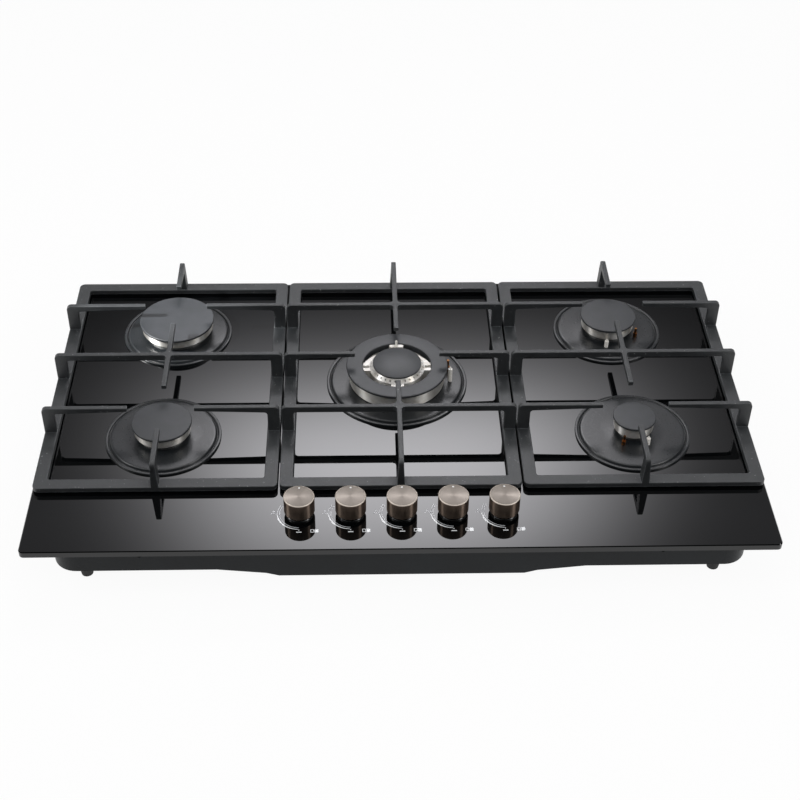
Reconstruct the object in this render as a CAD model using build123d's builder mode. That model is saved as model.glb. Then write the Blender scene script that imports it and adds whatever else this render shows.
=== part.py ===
"""Five-burner gas cooktop with a black glass panel and three cast-iron pan supports.

Millimetres.  Origin: centre of the footprint, on the ground under the rubber feet.
X runs to the right, Y to the back, Z up.  The knobs are at the front (-Y).
"""
from build123d import *
from collections import namedtuple
from math import cos, pi, radians, sin, sqrt
import os

os.makedirs("parts", exist_ok=True)

# ------------------------------------------------------------------ driving sizes
# Glass panel
glass_width = 860.0
glass_depth = 510.0
glass_thickness = 8.0
glass_corner_radius = 6.0
glass_edge_chamfer = 1.0

# Foam seal under the rim of the glass
seal_inset = 4.0
seal_width = 8.0
seal_thickness = 2.0

# Sheet-steel housing: shallow at the sides, with a deeper well in the middle
sheet = 1.0
housing_side_setback = 28.0
housing_end_setback = 20.0
housing_height = 43.5
housing_corner_radius = 28.0
flange_width = 7.0
well_drop = 11.0
well_half_width = 142.0
well_step_half_width = 157.0
well_step_rise = 4.5
well_slope_half_width = 213.0
vent_length = 50.0
vent_width = 4.0
vent_pitch = 10.0
vent_rows = 5
vent_x = 345.0
vent_y = 42.0
clamp_hole_radius = 2.2
clamp_hole_x = 300.0
clamp_hole_below_glass = 20.0

# Rubber feet of the housing
foot_height = 13.0
foot_top_radius = 8.7
foot_bottom_radius = 6.8
foot_side_inset = 38.0
foot_end_inset = 10.5

# Pan supports (cast iron)
support_gap = 2.3
support_width = 284.0
support_depth = 407.0
support_centre_y = 42.0
rail_width = 15.7
rail_thickness = 6.0
rail_outer_radius = 7.0
rail_inner_radius = 3.0
support_foot_height = 3.5
support_height = 46.0
row_shift = 1.5
row_pitch = 103.0
bar_width = 6.2
bar_depth = 8.5
finger_tip_depth = 5.5
post_width = 14.5
post_corner_radius = 6.0
post_base_width = 9.5
side_tip_reach = 40.0
centre_tip_reach = 53.0
arm_pit_radius = 4.0
cast_edge_radius = 1.0
pad_radius = 5.0
pad_stem_radius = 2.5
pad_stem_length = 3.0
pad_hole_radius = 2.6

# Burners: places and sizes
burner_shift = -2.5
back_right_shift = -4.5
rapid_cap_radius = 48.0
semi_cap_radius = 36.1
small_cap_radius = 26.0
wok_cap_radius = 64.0
wok_hole_radius = 43.0
wok_inner_cap_radius = 30.5
rapid_cap_top = 25.0
front_left_cap_top = 25.5
back_right_cap_top = 27.0
small_cap_top = 28.0
wok_cap_top = 27.8
wok_inner_cap_rim = 29.6
wok_inner_cap_top = 32.0
cap_thickness = 3.0
cap_bevel = 0.9
cap_overhang = 1.6
cap_rib_depth = 3.0
cap_rib_width = 2.0
cap_rib_clearance = 0.6

# Crowns (aluminium flame spreaders)
crown_seat = 10.0
crown_wall = 4.0
crown_floor = 3.0
crown_taper = 0.6
crown_foot_chamfer = 2.0
crown_spigot = 4.0
spigot_clearance = 0.4
mixing_tube_length = 16.0
mixing_tube_radius = 8.0
mixing_tube_bore = 6.0
port_width = 1.8
port_height = 1.5
port_pitch = 7.5
wok_trough_inner_radius = 44.0
wok_trough_wall = 3.0
wok_crown_taper = 2.2
wok_skirt_bottom = 6.5
wok_skirt_wall = 2.2
wok_inner_crown_radius = 35.0
wok_inner_crown_top_radius = 29.8
wok_inner_crown_shoulder = 24.0
wok_inner_wall = 4.0
wok_bridge_width = 16.0
wok_bridge_top = 24.4
wok_bridge_notch_width = 5.0
wok_bridge_notch_depth = 5.0
wok_port_radius = 0.9
wok_port_overcut = 1.0
wok_port_count = 32

# Burner cups (aluminium, each standing on three legs in the housing)
cup_inset = 8.0
cup_wall = 3.0
cup_lip = 1.5
cup_lip_thickness = 4.6
cup_flange_thickness = 3.0
cup_flange_below_glass = 18.0
cup_boss_radius = 9.0
cup_boss_height = 8.0
cup_leg_radius = 5.0
cup_leg_inset = 1.0
cup_leg_angles = (90.0, 210.0, 330.0)
wok_second_jet_x = 48.0
glass_hole_margin = 8.0

# Drip rings (enamelled steel)
drip_radius = 70.3
drip_centre_radius = 89.0
drip_sheet = 1.0
drip_rim_height = 2.6
drip_rim_width = 3.2
drip_rim_bevel = 0.8
drip_groove_width = 1.4
drip_groove_rise = 0.2
drip_step_width = 1.6
drip_shoulder_width = 1.8
drip_shoulder_drop = 0.3
drip_plate_height = 3.9
drip_plate_rise = 0.5
drip_rise_margin = 9.0
drip_cup_clearance = 0.4

# Injectors, electrodes and flame probes
jet_thread_radius = 4.0
jet_head_radius = 5.5
jet_head_height = 4.0
jet_tip_radius = 3.0
jet_tip_height = 2.5
jet_bore_radius = 1.0
fit_clearance = 0.05
probe_offset = 3.6
electrode_radius = 2.6
electrode_collar_radius = 4.0
electrode_collar_height = 2.5
electrode_tail = 8.0
electrode_tip_radius = 0.8
electrode_tip_length = 3.0
electrode_top = 17.0
wok_electrode_top = 27.0
thermocouple_radius = 1.6
thermocouple_sleeve_radius = 2.6
thermocouple_top = 18.0
wok_thermocouple_top = 21.0
thermocouple_sleeve_top = 11.0
probe_hole_clearance = 0.2
drip_probe_hole_radius = 3.4

# Knobs
knob_pitch = 58.8
knob_y = -197.2
knob_radius = 17.7
knob_top = 27.7
knob_shell = 2.0
knob_cap = 3.0
knob_chamfer = 0.8
knob_hub_radius = 7.0
knob_dot_radius = 1.2
knob_dot_depth = 0.4
knob_dot_offset = 13.4
knob_travel = 3.5
knob_float = 0.3
bezel_radius = 15.7
bezel_height = 2.2
bezel_chamfer = 0.6
bezel_bore_clearance = 0.5

# Gas taps under the knobs
tap_body_radius = 13.0
tap_body_bottom = 13.0
tap_body_top = 44.0
tap_foot_radius = 6.0
tap_cover_thickness = 3.0
tap_neck_radius = 6.5
tap_neck_gap = 0.8
plug_bottom = 20.0
plug_top = 36.0
plug_bottom_radius = 6.0
plug_top_radius = 7.0
plug_slot_width = 2.2
plug_slot_spare = 0.5
spring_chamber_radius = 7.4
spindle_radius = 4.0
spindle_bore_clearance = 0.1
spindle_flat = 3.0
spindle_above_glass = 22.0
spindle_collar_radius = 6.6
spindle_collar_height = 1.5
spindle_collar_gap = 0.2
spindle_blade_width = 9.0
spindle_blade_thickness = 2.0
spindle_blade_entry = 5.5
spindle_glass_hole_radius = 8.0
spring_radius = 5.8
spring_wire_radius = 0.4
spring_turns = 3
nipple_radius = 4.0
nipple_length = 5.0
saddle_half_width = 9.0
switch_width = 14.0
switch_depth = 11.0
switch_height = 11.0
switch_clearance = 0.3

# Gas rail and feed tubes
gas_rail_radius = 7.0
gas_rail_bore = 5.5
gas_rail_behind_taps = 24.0
gas_rail_height = 34.0
gas_rail_overrun = 22.0
gas_rail_bend = 20.0
inlet_x = 350.0
inlet_thread_radius = 10.478
inlet_thread_length = 18.0
inlet_nut_radius = 14.0
inlet_nut_length = 7.0
inlet_bore_radius = 6.5
inlet_neck_radius = 9.5
inlet_neck_gap = 1.0
inlet_wall_clearance = 0.5
feed_height = 18.0
feed_radius = 3.0
feed_bore = 2.0
feed_bend = 7.0
feed_near_lane = 47.0
feed_far_lane = 87.0
feed_side_x = 200.0
feed_tee_y = -20.0

# Ignition
generator_size = (70.0, 40.0, 28.0)
generator_place = (-80.0, 185.0)
generator_corner = 3.0
terminal_radius = 2.0
terminal_length = 6.0
terminal_pitch = 10.0
terminal_count = 6
battery_box_size = (76.0, 44.0, 38.0)
battery_box_place = (80.0, 185.0)
battery_box_corner = 3.0
battery_box_wall = 2.0

# Screws (M4 with a low head)
screw_radius = 2.0
screw_head_radius = 3.8
screw_head_height = 1.5
screw_length = 12.0
screw_end_gap = 1.0
screw_hole_radius = 2.2

# ------------------------------------------------------------------ derived heights
side_floor = foot_height
well_floor = foot_height - well_drop
glass_under = side_floor + housing_height
glass_top = glass_under + glass_thickness
housing_width = glass_width - 2 * housing_side_setback
housing_depth = glass_depth - 2 * housing_end_setback
back_wall = housing_depth / 2
support_bottom = glass_top + support_foot_height
support_top = glass_top + support_height
side_x = support_width + support_gap
row_y = [support_centre_y + row_shift + step * row_pitch for step in (1, 0, -1)]
cup_top = glass_top + crown_seat
cup_flange_bottom = glass_under - cup_flange_below_glass
cup_flange_top = cup_flange_bottom + cup_flange_thickness
cup_boss_bottom = cup_flange_bottom - cup_boss_height
drip_cup_height = crown_seat - cup_lip_thickness
knob_bottom = bezel_height + knob_float + knob_travel
plug_slot_depth = spindle_blade_entry + knob_travel + plug_slot_spare
collar_top = tap_body_top - spindle_collar_gap
collar_bottom = collar_top - spindle_collar_height
gas_rail_y = knob_y + gas_rail_behind_taps
knob_x = [knob_pitch * step for step in (-2, -1, 0, 1, 2)]

Burner = namedtuple("Burner", "name x y cap_radius cap_top floor electrode_angle probe_angle")
burners = [
    Burner("back_left", -side_x, row_y[0] + burner_shift, rapid_cap_radius, rapid_cap_top,
           side_floor, 100.0, 60.0),
    Burner("front_left", -side_x, row_y[2] + burner_shift, semi_cap_radius, front_left_cap_top,
           side_floor, 100.0, 60.0),
    Burner("centre", 0.0, row_y[1] + burner_shift, wok_cap_radius, wok_cap_top,
           well_floor, 356.0, 14.0),
    Burner("back_right", side_x + back_right_shift, row_y[0] + burner_shift, semi_cap_radius,
           back_right_cap_top, side_floor, 262.0, 333.0),
    Burner("front_right", side_x, row_y[2] + burner_shift, small_cap_radius, small_cap_top,
           side_floor, 300.0, 240.0),
]
centre_burner = burners[2]
side_burners = [b for b in burners if b is not centre_burner]


def probe_place(burner, angle):
    """Plan position of a rod that stands just outside the burner's cap."""
    reach = burner.cap_radius + probe_offset
    return (burner.x + reach * cos(radians(angle)), burner.y + reach * sin(radians(angle)))


def leg_places(burner):
    """Plan positions of the three legs under the flange of the burner's cup."""
    reach = burner.cap_radius + glass_hole_margin - cup_leg_inset - cup_leg_radius
    return [(burner.x + reach * cos(radians(a)), burner.y + reach * sin(radians(a)))
            for a in cup_leg_angles]


def save(part, name):
    """Label a finished piece and write its STEP file."""
    part.label = name
    export_step(part, f"parts/{name}.step")


# ------------------------------------------------------------------ glass panel
with BuildPart() as glass_panel:
    with BuildSketch(Plane.XY.offset(glass_under)):
        RectangleRounded(glass_width, glass_depth, glass_corner_radius)
    extrude(amount=glass_thickness)
    chamfer(glass_panel.faces().sort_by(Axis.Z)[-1].edges(), glass_edge_chamfer)
    with BuildSketch(Plane.XY.offset(glass_under)):
        for burner in burners:
            with Locations((burner.x, burner.y)):
                Circle(burner.cap_radius + glass_hole_margin)
        with Locations([(x, knob_y) for x in knob_x]):
            Circle(spindle_glass_hole_radius)
    extrude(amount=glass_thickness, mode=Mode.SUBTRACT)
save(glass_panel.part, "glass_top")

with BuildPart() as seal:
    with BuildSketch(Plane.XY.offset(glass_under - seal_thickness)):
        RectangleRounded(glass_width - 2 * seal_inset, glass_depth - 2 * seal_inset,
                         glass_corner_radius)
        RectangleRounded(glass_width - 2 * (seal_inset + seal_width),
                         glass_depth - 2 * (seal_inset + seal_width),
                         glass_corner_radius, mode=Mode.SUBTRACT)
    extrude(amount=seal_thickness)
save(seal.part, "panel_seal")


# ------------------------------------------------------------------ housing
def housing_block(inset, lift):
    """Solid filling the housing, `inset` inside its walls and `lift` above its floor."""
    half = housing_width / 2 - inset
    right_floor = [
        (well_half_width, well_floor + lift),
        (well_step_half_width, well_floor + well_step_rise + lift),
        (well_slope_half_width, side_floor + lift),
        (half, side_floor + lift),
        (half, glass_under),
    ]
    left_floor = [(-x, z) for x, z in reversed(right_floor)]
    with BuildPart() as block:
        with BuildSketch(Plane.XZ):
            with BuildLine():
                Polyline(left_floor + right_floor, close=True)
            make_face()
        extrude(amount=housing_depth / 2 - inset, both=True)
        with BuildSketch(Plane.XY):
            RectangleRounded(2 * half, housing_depth - 2 * inset, housing_corner_radius - inset)
        extrude(amount=glass_under, mode=Mode.INTERSECT)
    return block.part


housing_outside = housing_block(0.0, 0.0)
housing_inside = housing_block(sheet, sheet)
with BuildPart() as housing:
    add(housing_outside)
    add(housing_inside, mode=Mode.SUBTRACT)
    with BuildSketch(Plane.XY.offset(glass_under - sheet)):
        RectangleRounded(housing_width + 2 * flange_width, housing_depth + 2 * flange_width,
                         housing_corner_radius + flange_width)
        RectangleRounded(housing_width - 2 * sheet, housing_depth - 2 * sheet,
                         housing_corner_radius - sheet, mode=Mode.SUBTRACT)
    extrude(amount=sheet)
    with BuildSketch(Plane.XY):
        for burner in burners:
            with Locations(leg_places(burner)):
                Circle(screw_hole_radius)
        with Locations([(x, knob_y) for x in knob_x]):
            Circle(screw_hole_radius)
        for side in (-1, 1):
            with Locations((side * vent_x, vent_y)):
                with GridLocations(vent_length, vent_pitch, 1, vent_rows):
                    SlotOverall(vent_length, vent_width)
    extrude(amount=side_floor + 2 * sheet, mode=Mode.SUBTRACT)
    with BuildSketch(Plane.XZ.offset(-back_wall)):
        with Locations((inlet_x, gas_rail_height)):
            Circle(inlet_thread_radius + inlet_wall_clearance)
    extrude(amount=2 * sheet, mode=Mode.SUBTRACT)
    with BuildSketch(Plane.XZ):
        with Locations([(side * clamp_hole_x, glass_under - clamp_hole_below_glass)
                        for side in (-1, 1)]):
            Circle(clamp_hole_radius)
    extrude(amount=housing_depth, both=True, mode=Mode.SUBTRACT)
save(housing.part, "bottom_housing")

with BuildPart() as housing_feet:
    foot_x = housing_width / 2 - foot_side_inset
    foot_y = housing_depth / 2 - foot_end_inset
    with BuildSketch(Plane.XY):
        with GridLocations(2 * foot_x, 2 * foot_y, 2, 2):
            Circle(foot_bottom_radius)
    with BuildSketch(Plane.XY.offset(foot_height)):
        with GridLocations(2 * foot_x, 2 * foot_y, 2, 2):
            Circle(foot_top_radius)
    foot_faces = housing_feet.pending_faces
    low_faces = [f for f in foot_faces if f.center().Z < foot_height / 2]
    high_faces = [f for f in foot_faces if f.center().Z > foot_height / 2]
    housing_feet.pending_faces = []
    for low in low_faces:
        high = min(high_faces, key=lambda f: (f.center() - low.center()).length)
        loft(sections=[low, high])
save(housing_feet.part, "housing_feet")


# ------------------------------------------------------------------ pan supports
def plate(profile, plane, round_corners, thickness):
    """Cast bar: a flat profile in `plane`, rounded at (point, radius), with soft edges."""
    with BuildPart() as cast:
        with BuildSketch(plane) as outline:
            with BuildLine():
                Polyline(profile, close=True)
            make_face()
            for point, radius in round_corners:
                fillet(outline.vertices().sort_by_distance(Vector(*point, 0))[0], radius)
        extrude(amount=thickness / 2, both=True)
        flanks = cast.faces().filter_by(Plane(plane.origin, z_dir=plane.z_dir))
        fillet(flanks.edges(), cast_edge_radius)
    return cast.part


bar_foot = support_bottom + cast_edge_radius


def finger(plane, outer, tip):
    """Post on the frame at `outer` with a finger reaching in to `tip`, along the plane's x."""
    inward = 1 if tip > outer else -1
    post_inner = outer + inward * post_width
    profile = [
        (outer, bar_foot),
        (outer, support_top),
        (tip, support_top),
        (tip, support_top - finger_tip_depth),
        (post_inner, support_top - bar_depth),
        (post_inner, bar_foot),
    ]
    corners = [(profile[1], post_corner_radius), (profile[4], arm_pit_radius)]
    return plate(profile, plane, corners, bar_width)


def bridge_bar(plane, left, right):
    """Continuous bar from the post at `left` to the post at `right`."""
    inner_left = left + post_width
    inner_right = right - post_width
    profile = [
        (left, bar_foot),
        (left, support_top),
        (right, support_top),
        (right, bar_foot),
        (inner_right, bar_foot),
        (inner_right, support_top - bar_depth),
        (inner_left, support_top - bar_depth),
        (inner_left, bar_foot),
    ]
    corners = [(profile[1], post_corner_radius), (profile[2], post_corner_radius),
               (profile[5], arm_pit_radius), (profile[6], arm_pit_radius)]
    return plate(profile, plane, corners, bar_width)


def cross_bar(plane, start, end, middle):
    """Bar hung on another bar at `middle`, thinning towards both tips."""
    profile = [
        (start, support_top),
        (end, support_top),
        (end, support_top - finger_tip_depth),
        (middle, support_top - bar_depth),
        (start, support_top - finger_tip_depth),
    ]
    return plate(profile, plane, [], bar_width)


def post_wedge(x, outer, inward):
    """Widening foot of a front or back post, seen from the front as a trapezium."""
    high = support_top - bar_depth
    with BuildPart() as wedge:
        with BuildSketch(Plane.XZ.offset(-outer)):
            with BuildLine():
                Polyline([(x - post_base_width / 2, bar_foot), (x + post_base_width / 2, bar_foot),
                          (x + bar_width / 2, high), (x - bar_width / 2, high)], close=True)
            make_face()
        extrude(amount=-inward * post_width)
    return wedge.part


def support_frame(x):
    """Flat ring of a pan support, with blind holes for its rubber pads."""
    with BuildPart() as ring:
        with BuildSketch(Plane.XY.offset(support_bottom)):
            with Locations((x, support_centre_y)):
                RectangleRounded(support_width, support_depth, rail_outer_radius)
                RectangleRounded(support_width - 2 * rail_width, support_depth - 2 * rail_width,
                                 rail_inner_radius, mode=Mode.SUBTRACT)
        extrude(amount=rail_thickness)
        fillet(ring.faces().sort_by(Axis.Z)[-1].edges(), cast_edge_radius)
        with BuildSketch(Plane.XY.offset(support_bottom)):
            with Locations(pad_places(x)):
                Circle(pad_hole_radius)
        extrude(amount=pad_stem_length + fit_clearance, mode=Mode.SUBTRACT)
    return ring.part


def pad_places(x):
    """Middle of the rails near the four corners of a pan support."""
    dx = support_width / 2 - rail_width / 2
    dy = support_depth / 2 - 2 * rail_width
    return [(x + sx * dx, support_centre_y + sy * dy) for sx in (-1, 1) for sy in (-1, 1)]


def row_plane(y):
    """Plane across the cooktop at depth y, with local x = X and local y = Z."""
    return Plane.XZ.offset(-y)


def column_plane(x):
    """Plane front to back at x, with local x = Y and local y = Z."""
    return Plane.YZ.offset(x)


support_front = support_centre_y - support_depth / 2
support_back = support_centre_y + support_depth / 2


def side_support(x):
    """Left or right pan support, over two burners."""
    left = x - support_width / 2
    right = x + support_width / 2
    pieces = [support_frame(x), bridge_bar(row_plane(row_y[1]), left, right)]
    for y in (row_y[0], row_y[2]):
        pieces.append(finger(row_plane(y), left, x - side_tip_reach))
        pieces.append(finger(row_plane(y), right, x + side_tip_reach))
    pieces.append(cross_bar(column_plane(x), row_y[2] + side_tip_reach,
                            row_y[0] - side_tip_reach, row_y[1]))
    pieces.append(finger(column_plane(x), support_back, row_y[0] + side_tip_reach))
    pieces.append(finger(column_plane(x), support_front, row_y[2] - side_tip_reach))
    pieces.append(post_wedge(x, support_back, -1))
    pieces.append(post_wedge(x, support_front, 1))
    with BuildPart() as support:
        add(pieces)
    return support.part


def centre_support():
    """Middle pan support, over the large burner."""
    half = support_width / 2
    pieces = [support_frame(0.0)]
    for y in (row_y[0], row_y[2]):
        pieces.append(bridge_bar(row_plane(y), -half, half))
    pieces.append(finger(row_plane(row_y[1]), -half, -centre_tip_reach))
    pieces.append(finger(row_plane(row_y[1]), half, centre_tip_reach))
    pieces.append(finger(column_plane(0.0), support_back, centre_burner.y + centre_tip_reach))
    pieces.append(finger(column_plane(0.0), support_front, centre_burner.y - centre_tip_reach))
    pieces.append(post_wedge(0.0, support_back, -1))
    pieces.append(post_wedge(0.0, support_front, 1))
    with BuildPart() as support:
        add(pieces)
    return support.part


def support_pads(x):
    """Rubber pads between a pan support and the glass, with stems up into the frame."""
    with BuildPart() as pads:
        with BuildSketch(Plane.XY.offset(glass_top)):
            with Locations(pad_places(x)):
                Circle(pad_radius)
        extrude(amount=support_foot_height)
        with BuildSketch(Plane.XY.offset(support_bottom)):
            with Locations(pad_places(x)):
                Circle(pad_stem_radius)
        extrude(amount=pad_stem_length)
    return pads.part


save(side_support(-side_x), "pan_support_left")
save(centre_support(), "pan_support_centre")
save(side_support(side_x), "pan_support_right")
save(support_pads(-side_x), "support_feet_left")
save(support_pads(0.0), "support_feet_centre")
save(support_pads(side_x), "support_feet_right")


# ------------------------------------------------------------------ burners
def spun(profile, x, y, base=0.0):
    """Body of revolution about the vertical through (x, y); profile points are (r, z)."""
    with BuildPart() as body:
        with BuildSketch(Plane((x, y, base), x_dir=(1, 0, 0), z_dir=(0, -1, 0))):
            with BuildLine():
                Polyline(profile, close=True)
            make_face()
        revolve(axis=Axis((x, y, 0), (0, 0, 1)), revolution_arc=360)
    return body.part


def drip_ring(burner, radius):
    """Pressed ring: raised rim, groove and a plate that rises gently to the cup's lip."""
    cup_radius = burner.cap_radius - cup_inset
    inner = cup_radius + drip_cup_clearance
    groove = radius - drip_rim_width - drip_groove_width
    step = groove - drip_step_width
    upper = [
        (radius, drip_rim_height - drip_rim_bevel),
        (radius - drip_rim_bevel, drip_rim_height),
        (radius - drip_rim_width, drip_rim_height),
        (groove, drip_sheet + drip_groove_rise),
        (step, drip_plate_height - drip_shoulder_drop),
        (step - drip_shoulder_width, drip_plate_height),
        (burner.cap_radius + drip_rise_margin, drip_plate_height + drip_plate_rise),
        (cup_radius + cup_lip, drip_cup_height),
        (inner, drip_cup_height),
    ]
    lower = [(r, z - drip_sheet) for r, z in upper]
    lower[0] = (radius, 0.0)
    lower[1] = (radius - drip_sheet, 0.0)
    ring = spun(upper + list(reversed(lower)), burner.x, burner.y, glass_top)
    with BuildPart() as pierced:
        add(ring)
        with BuildSketch(Plane.XY.offset(glass_top)):
            with Locations([probe_place(burner, a)
                            for a in (burner.electrode_angle, burner.probe_angle)]):
                Circle(drip_probe_hole_radius)
        extrude(amount=crown_seat, mode=Mode.SUBTRACT)
    return pierced.part


with BuildPart() as drip_rings:
    add([drip_ring(burner, drip_radius) for burner in side_burners])
save(drip_rings.part, "drip_rings")
save(drip_ring(centre_burner, drip_centre_radius), "drip_ring_centre")


def burner_cup(burner):
    """Cast cup: top lip on the drip ring, flange with probe holes, jet boss and three legs."""
    wall = burner.cap_radius - cup_inset
    flange = burner.cap_radius + glass_hole_margin
    profile = [
        (0.0, cup_boss_bottom),
        (cup_boss_radius, cup_boss_bottom),
        (cup_boss_radius, cup_flange_bottom),
        (flange, cup_flange_bottom),
        (flange, cup_flange_top),
        (wall, cup_flange_top),
        (wall, cup_top - cup_lip_thickness),
        (wall + cup_lip, cup_top - cup_lip_thickness),
        (wall + cup_lip, cup_top),
        (wall - cup_wall, cup_top),
        (wall - cup_wall, cup_flange_top),
        (0.0, cup_flange_top),
    ]
    jets = [(burner.x, burner.y)]
    second_jets = [(burner.x + wok_second_jet_x, burner.y)] if burner is centre_burner else []
    body = spun(profile, burner.x, burner.y)
    with BuildPart() as cup:
        add(body)
        with BuildSketch(Plane.XY.offset(burner.floor + sheet)):
            with Locations(leg_places(burner)):
                Circle(cup_leg_radius)
        extrude(amount=cup_flange_bottom - burner.floor - sheet)
        if second_jets:
            with BuildSketch(Plane.XY.offset(cup_boss_bottom)):
                with Locations(second_jets):
                    Circle(cup_boss_radius)
            extrude(amount=cup_boss_height)
        with BuildSketch(Plane.XY.offset(cup_boss_bottom)):
            with Locations(jets + second_jets):
                Circle(jet_thread_radius + fit_clearance)
            with Locations([probe_place(burner, a)
                            for a in (burner.electrode_angle, burner.probe_angle)]):
                Circle(electrode_radius + probe_hole_clearance)
        extrude(amount=cup_boss_height + cup_flange_thickness, mode=Mode.SUBTRACT)
        with BuildSketch(Plane.XY.offset(burner.floor + sheet)):
            with Locations(leg_places(burner)):
                Circle(screw_radius + fit_clearance)
        extrude(amount=screw_length, mode=Mode.SUBTRACT)
    return cup.part


for burner in burners:
    save(burner_cup(burner), f"burner_cup_{burner.name}")


def ring_crown(burner):
    """Flame spreader of a single-ring burner: slotted wall, floor, spigot and mixing tube."""
    seat = crown_seat
    top = burner.cap_top - cap_thickness
    top_radius = burner.cap_radius - cap_overhang
    base_radius = top_radius - crown_taper
    spigot = burner.cap_radius - cup_inset - cup_wall - spigot_clearance
    profile = [
        (mixing_tube_bore, seat - mixing_tube_length),
        (mixing_tube_radius, seat - mixing_tube_length),
        (mixing_tube_radius, seat - crown_spigot),
        (spigot, seat - crown_spigot),
        (spigot, seat),
        (base_radius - crown_foot_chamfer, seat),
        (base_radius, seat + crown_foot_chamfer),
        (top_radius, top),
        (top_radius - crown_wall, top),
        (base_radius - crown_wall, seat + crown_floor),
        (mixing_tube_bore, seat + crown_floor),
    ]
    body = spun(profile, burner.x, burner.y, glass_top)
    ports = round(2 * pi * top_radius / port_pitch)
    with BuildPart() as crown:
        add(body)
        with BuildSketch(Plane.XY.offset(glass_top + top - port_height)):
            with Locations((burner.x, burner.y)):
                with PolarLocations(top_radius - crown_wall / 2, ports):
                    Rectangle(2 * crown_wall, port_width)
        extrude(amount=port_height, mode=Mode.SUBTRACT)
    return crown.part


def wok_crown():
    """Casting of the large burner: outer trough with a skirt, inner crown and four bridges."""
    x, y = centre_burner.x, centre_burner.y
    top = wok_cap_top - cap_thickness
    top_radius = wok_cap_radius - cap_overhang
    base_radius = top_radius - wok_crown_taper
    trough_wall = wok_trough_inner_radius + wok_trough_wall
    trough = spun([
        (wok_trough_inner_radius, crown_seat),
        (base_radius - wok_skirt_wall, crown_seat),
        (base_radius - wok_skirt_wall, wok_skirt_bottom),
        (base_radius, wok_skirt_bottom),
        (top_radius, top),
        (top_radius - crown_wall, top),
        (base_radius - crown_wall, crown_seat + crown_floor),
        (trough_wall, crown_seat + crown_floor),
        (trough_wall, top),
        (wok_trough_inner_radius, top),
    ], x, y, glass_top)
    inner_top = wok_inner_cap_rim - cap_bevel
    inner_wall = wok_inner_crown_top_radius - wok_inner_wall
    inner_crown = spun([
        (mixing_tube_bore, crown_seat - mixing_tube_length),
        (mixing_tube_radius, crown_seat - mixing_tube_length),
        (mixing_tube_radius, crown_seat),
        (wok_inner_crown_radius - crown_floor, crown_seat),
        (wok_inner_crown_radius, crown_seat + crown_floor),
        (wok_inner_crown_radius, wok_inner_crown_shoulder),
        (wok_inner_crown_top_radius, inner_top),
        (inner_wall, inner_top),
        (inner_wall, crown_seat + crown_floor),
        (mixing_tube_bore, crown_seat + crown_floor),
    ], x, y, glass_top)
    bridge_start = wok_inner_crown_radius - wok_inner_wall
    bridge_end = wok_trough_inner_radius + wok_trough_wall / 2
    bridge_middle = (bridge_start + bridge_end) / 2
    notch_middle = (wok_inner_crown_radius + wok_trough_inner_radius) / 2
    ports = round(2 * pi * top_radius / port_pitch)
    with BuildPart() as crown:
        add(trough)
        add(inner_crown)
        with BuildSketch(Plane.XY.offset(glass_top + crown_seat)):
            with Locations((x, y)):
                with PolarLocations(bridge_middle, 4):
                    Rectangle(bridge_end - bridge_start, wok_bridge_width)
        extrude(amount=wok_bridge_top - crown_seat)
        with BuildSketch(Plane.XY.offset(glass_top + wok_bridge_top - wok_bridge_notch_depth)):
            with Locations((x, y)):
                with PolarLocations(notch_middle, 4):
                    Rectangle(wok_trough_inner_radius - wok_inner_crown_radius,
                              wok_bridge_notch_width)
        extrude(amount=wok_bridge_notch_depth, mode=Mode.SUBTRACT)
        with BuildSketch(Plane.XY.offset(glass_top + top - port_height)):
            with Locations((x, y)):
                with PolarLocations(top_radius - crown_wall / 2, ports):
                    Rectangle(2 * crown_wall, port_width)
        extrude(amount=port_height, mode=Mode.SUBTRACT)
        port_height_middle = glass_top + (wok_inner_crown_shoulder + inner_top) / 2
        for index in range(wok_port_count):
            angle = 360.0 * (index + 0.5) / wok_port_count
            spoke = Plane((x, y, port_height_middle), z_dir=(cos(radians(angle)),
                                                           sin(radians(angle)), 0))
            with BuildSketch(spoke.offset(inner_wall - wok_port_overcut)):
                Circle(wok_port_radius)
            extrude(amount=wok_inner_crown_radius - inner_wall + 2 * wok_port_overcut,
                    mode=Mode.SUBTRACT)
    return crown.part


for burner in side_burners:
    save(ring_crown(burner), f"burner_crown_{burner.name}")
save(wok_crown(), "burner_crown_centre")


def disc_cap(burner):
    """Flat enamelled cap with a bevelled rim and a locating rib underneath."""
    top = burner.cap_top
    under = top - cap_thickness
    rib = burner.cap_radius - cap_overhang - crown_taper - crown_wall - cap_rib_clearance
    return spun([
        (0.0, under),
        (rib - cap_rib_width, under),
        (rib - cap_rib_width, under - cap_rib_depth),
        (rib, under - cap_rib_depth),
        (rib, under),
        (burner.cap_radius, under),
        (burner.cap_radius, top - cap_bevel),
        (burner.cap_radius - cap_bevel, top),
        (0.0, top),
    ], burner.x, burner.y, glass_top)


for burner in side_burners:
    save(disc_cap(burner), f"burner_cap_{burner.name}")

wok_under = wok_cap_top - cap_thickness
wok_rib = wok_trough_inner_radius + wok_trough_wall + cap_rib_clearance
outer_cap = spun([
    (wok_hole_radius, wok_under),
    (wok_rib, wok_under),
    (wok_rib, wok_under - cap_rib_depth),
    (wok_rib + cap_rib_width, wok_under - cap_rib_depth),
    (wok_rib + cap_rib_width, wok_under),
    (wok_cap_radius, wok_under),
    (wok_cap_radius, wok_cap_top - cap_bevel),
    (wok_cap_radius - cap_bevel, wok_cap_top),
    (wok_hole_radius + cap_bevel, wok_cap_top),
    (wok_hole_radius, wok_cap_top - cap_bevel),
], centre_burner.x, centre_burner.y, glass_top)
save(outer_cap, "burner_cap_centre_outer")

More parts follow.
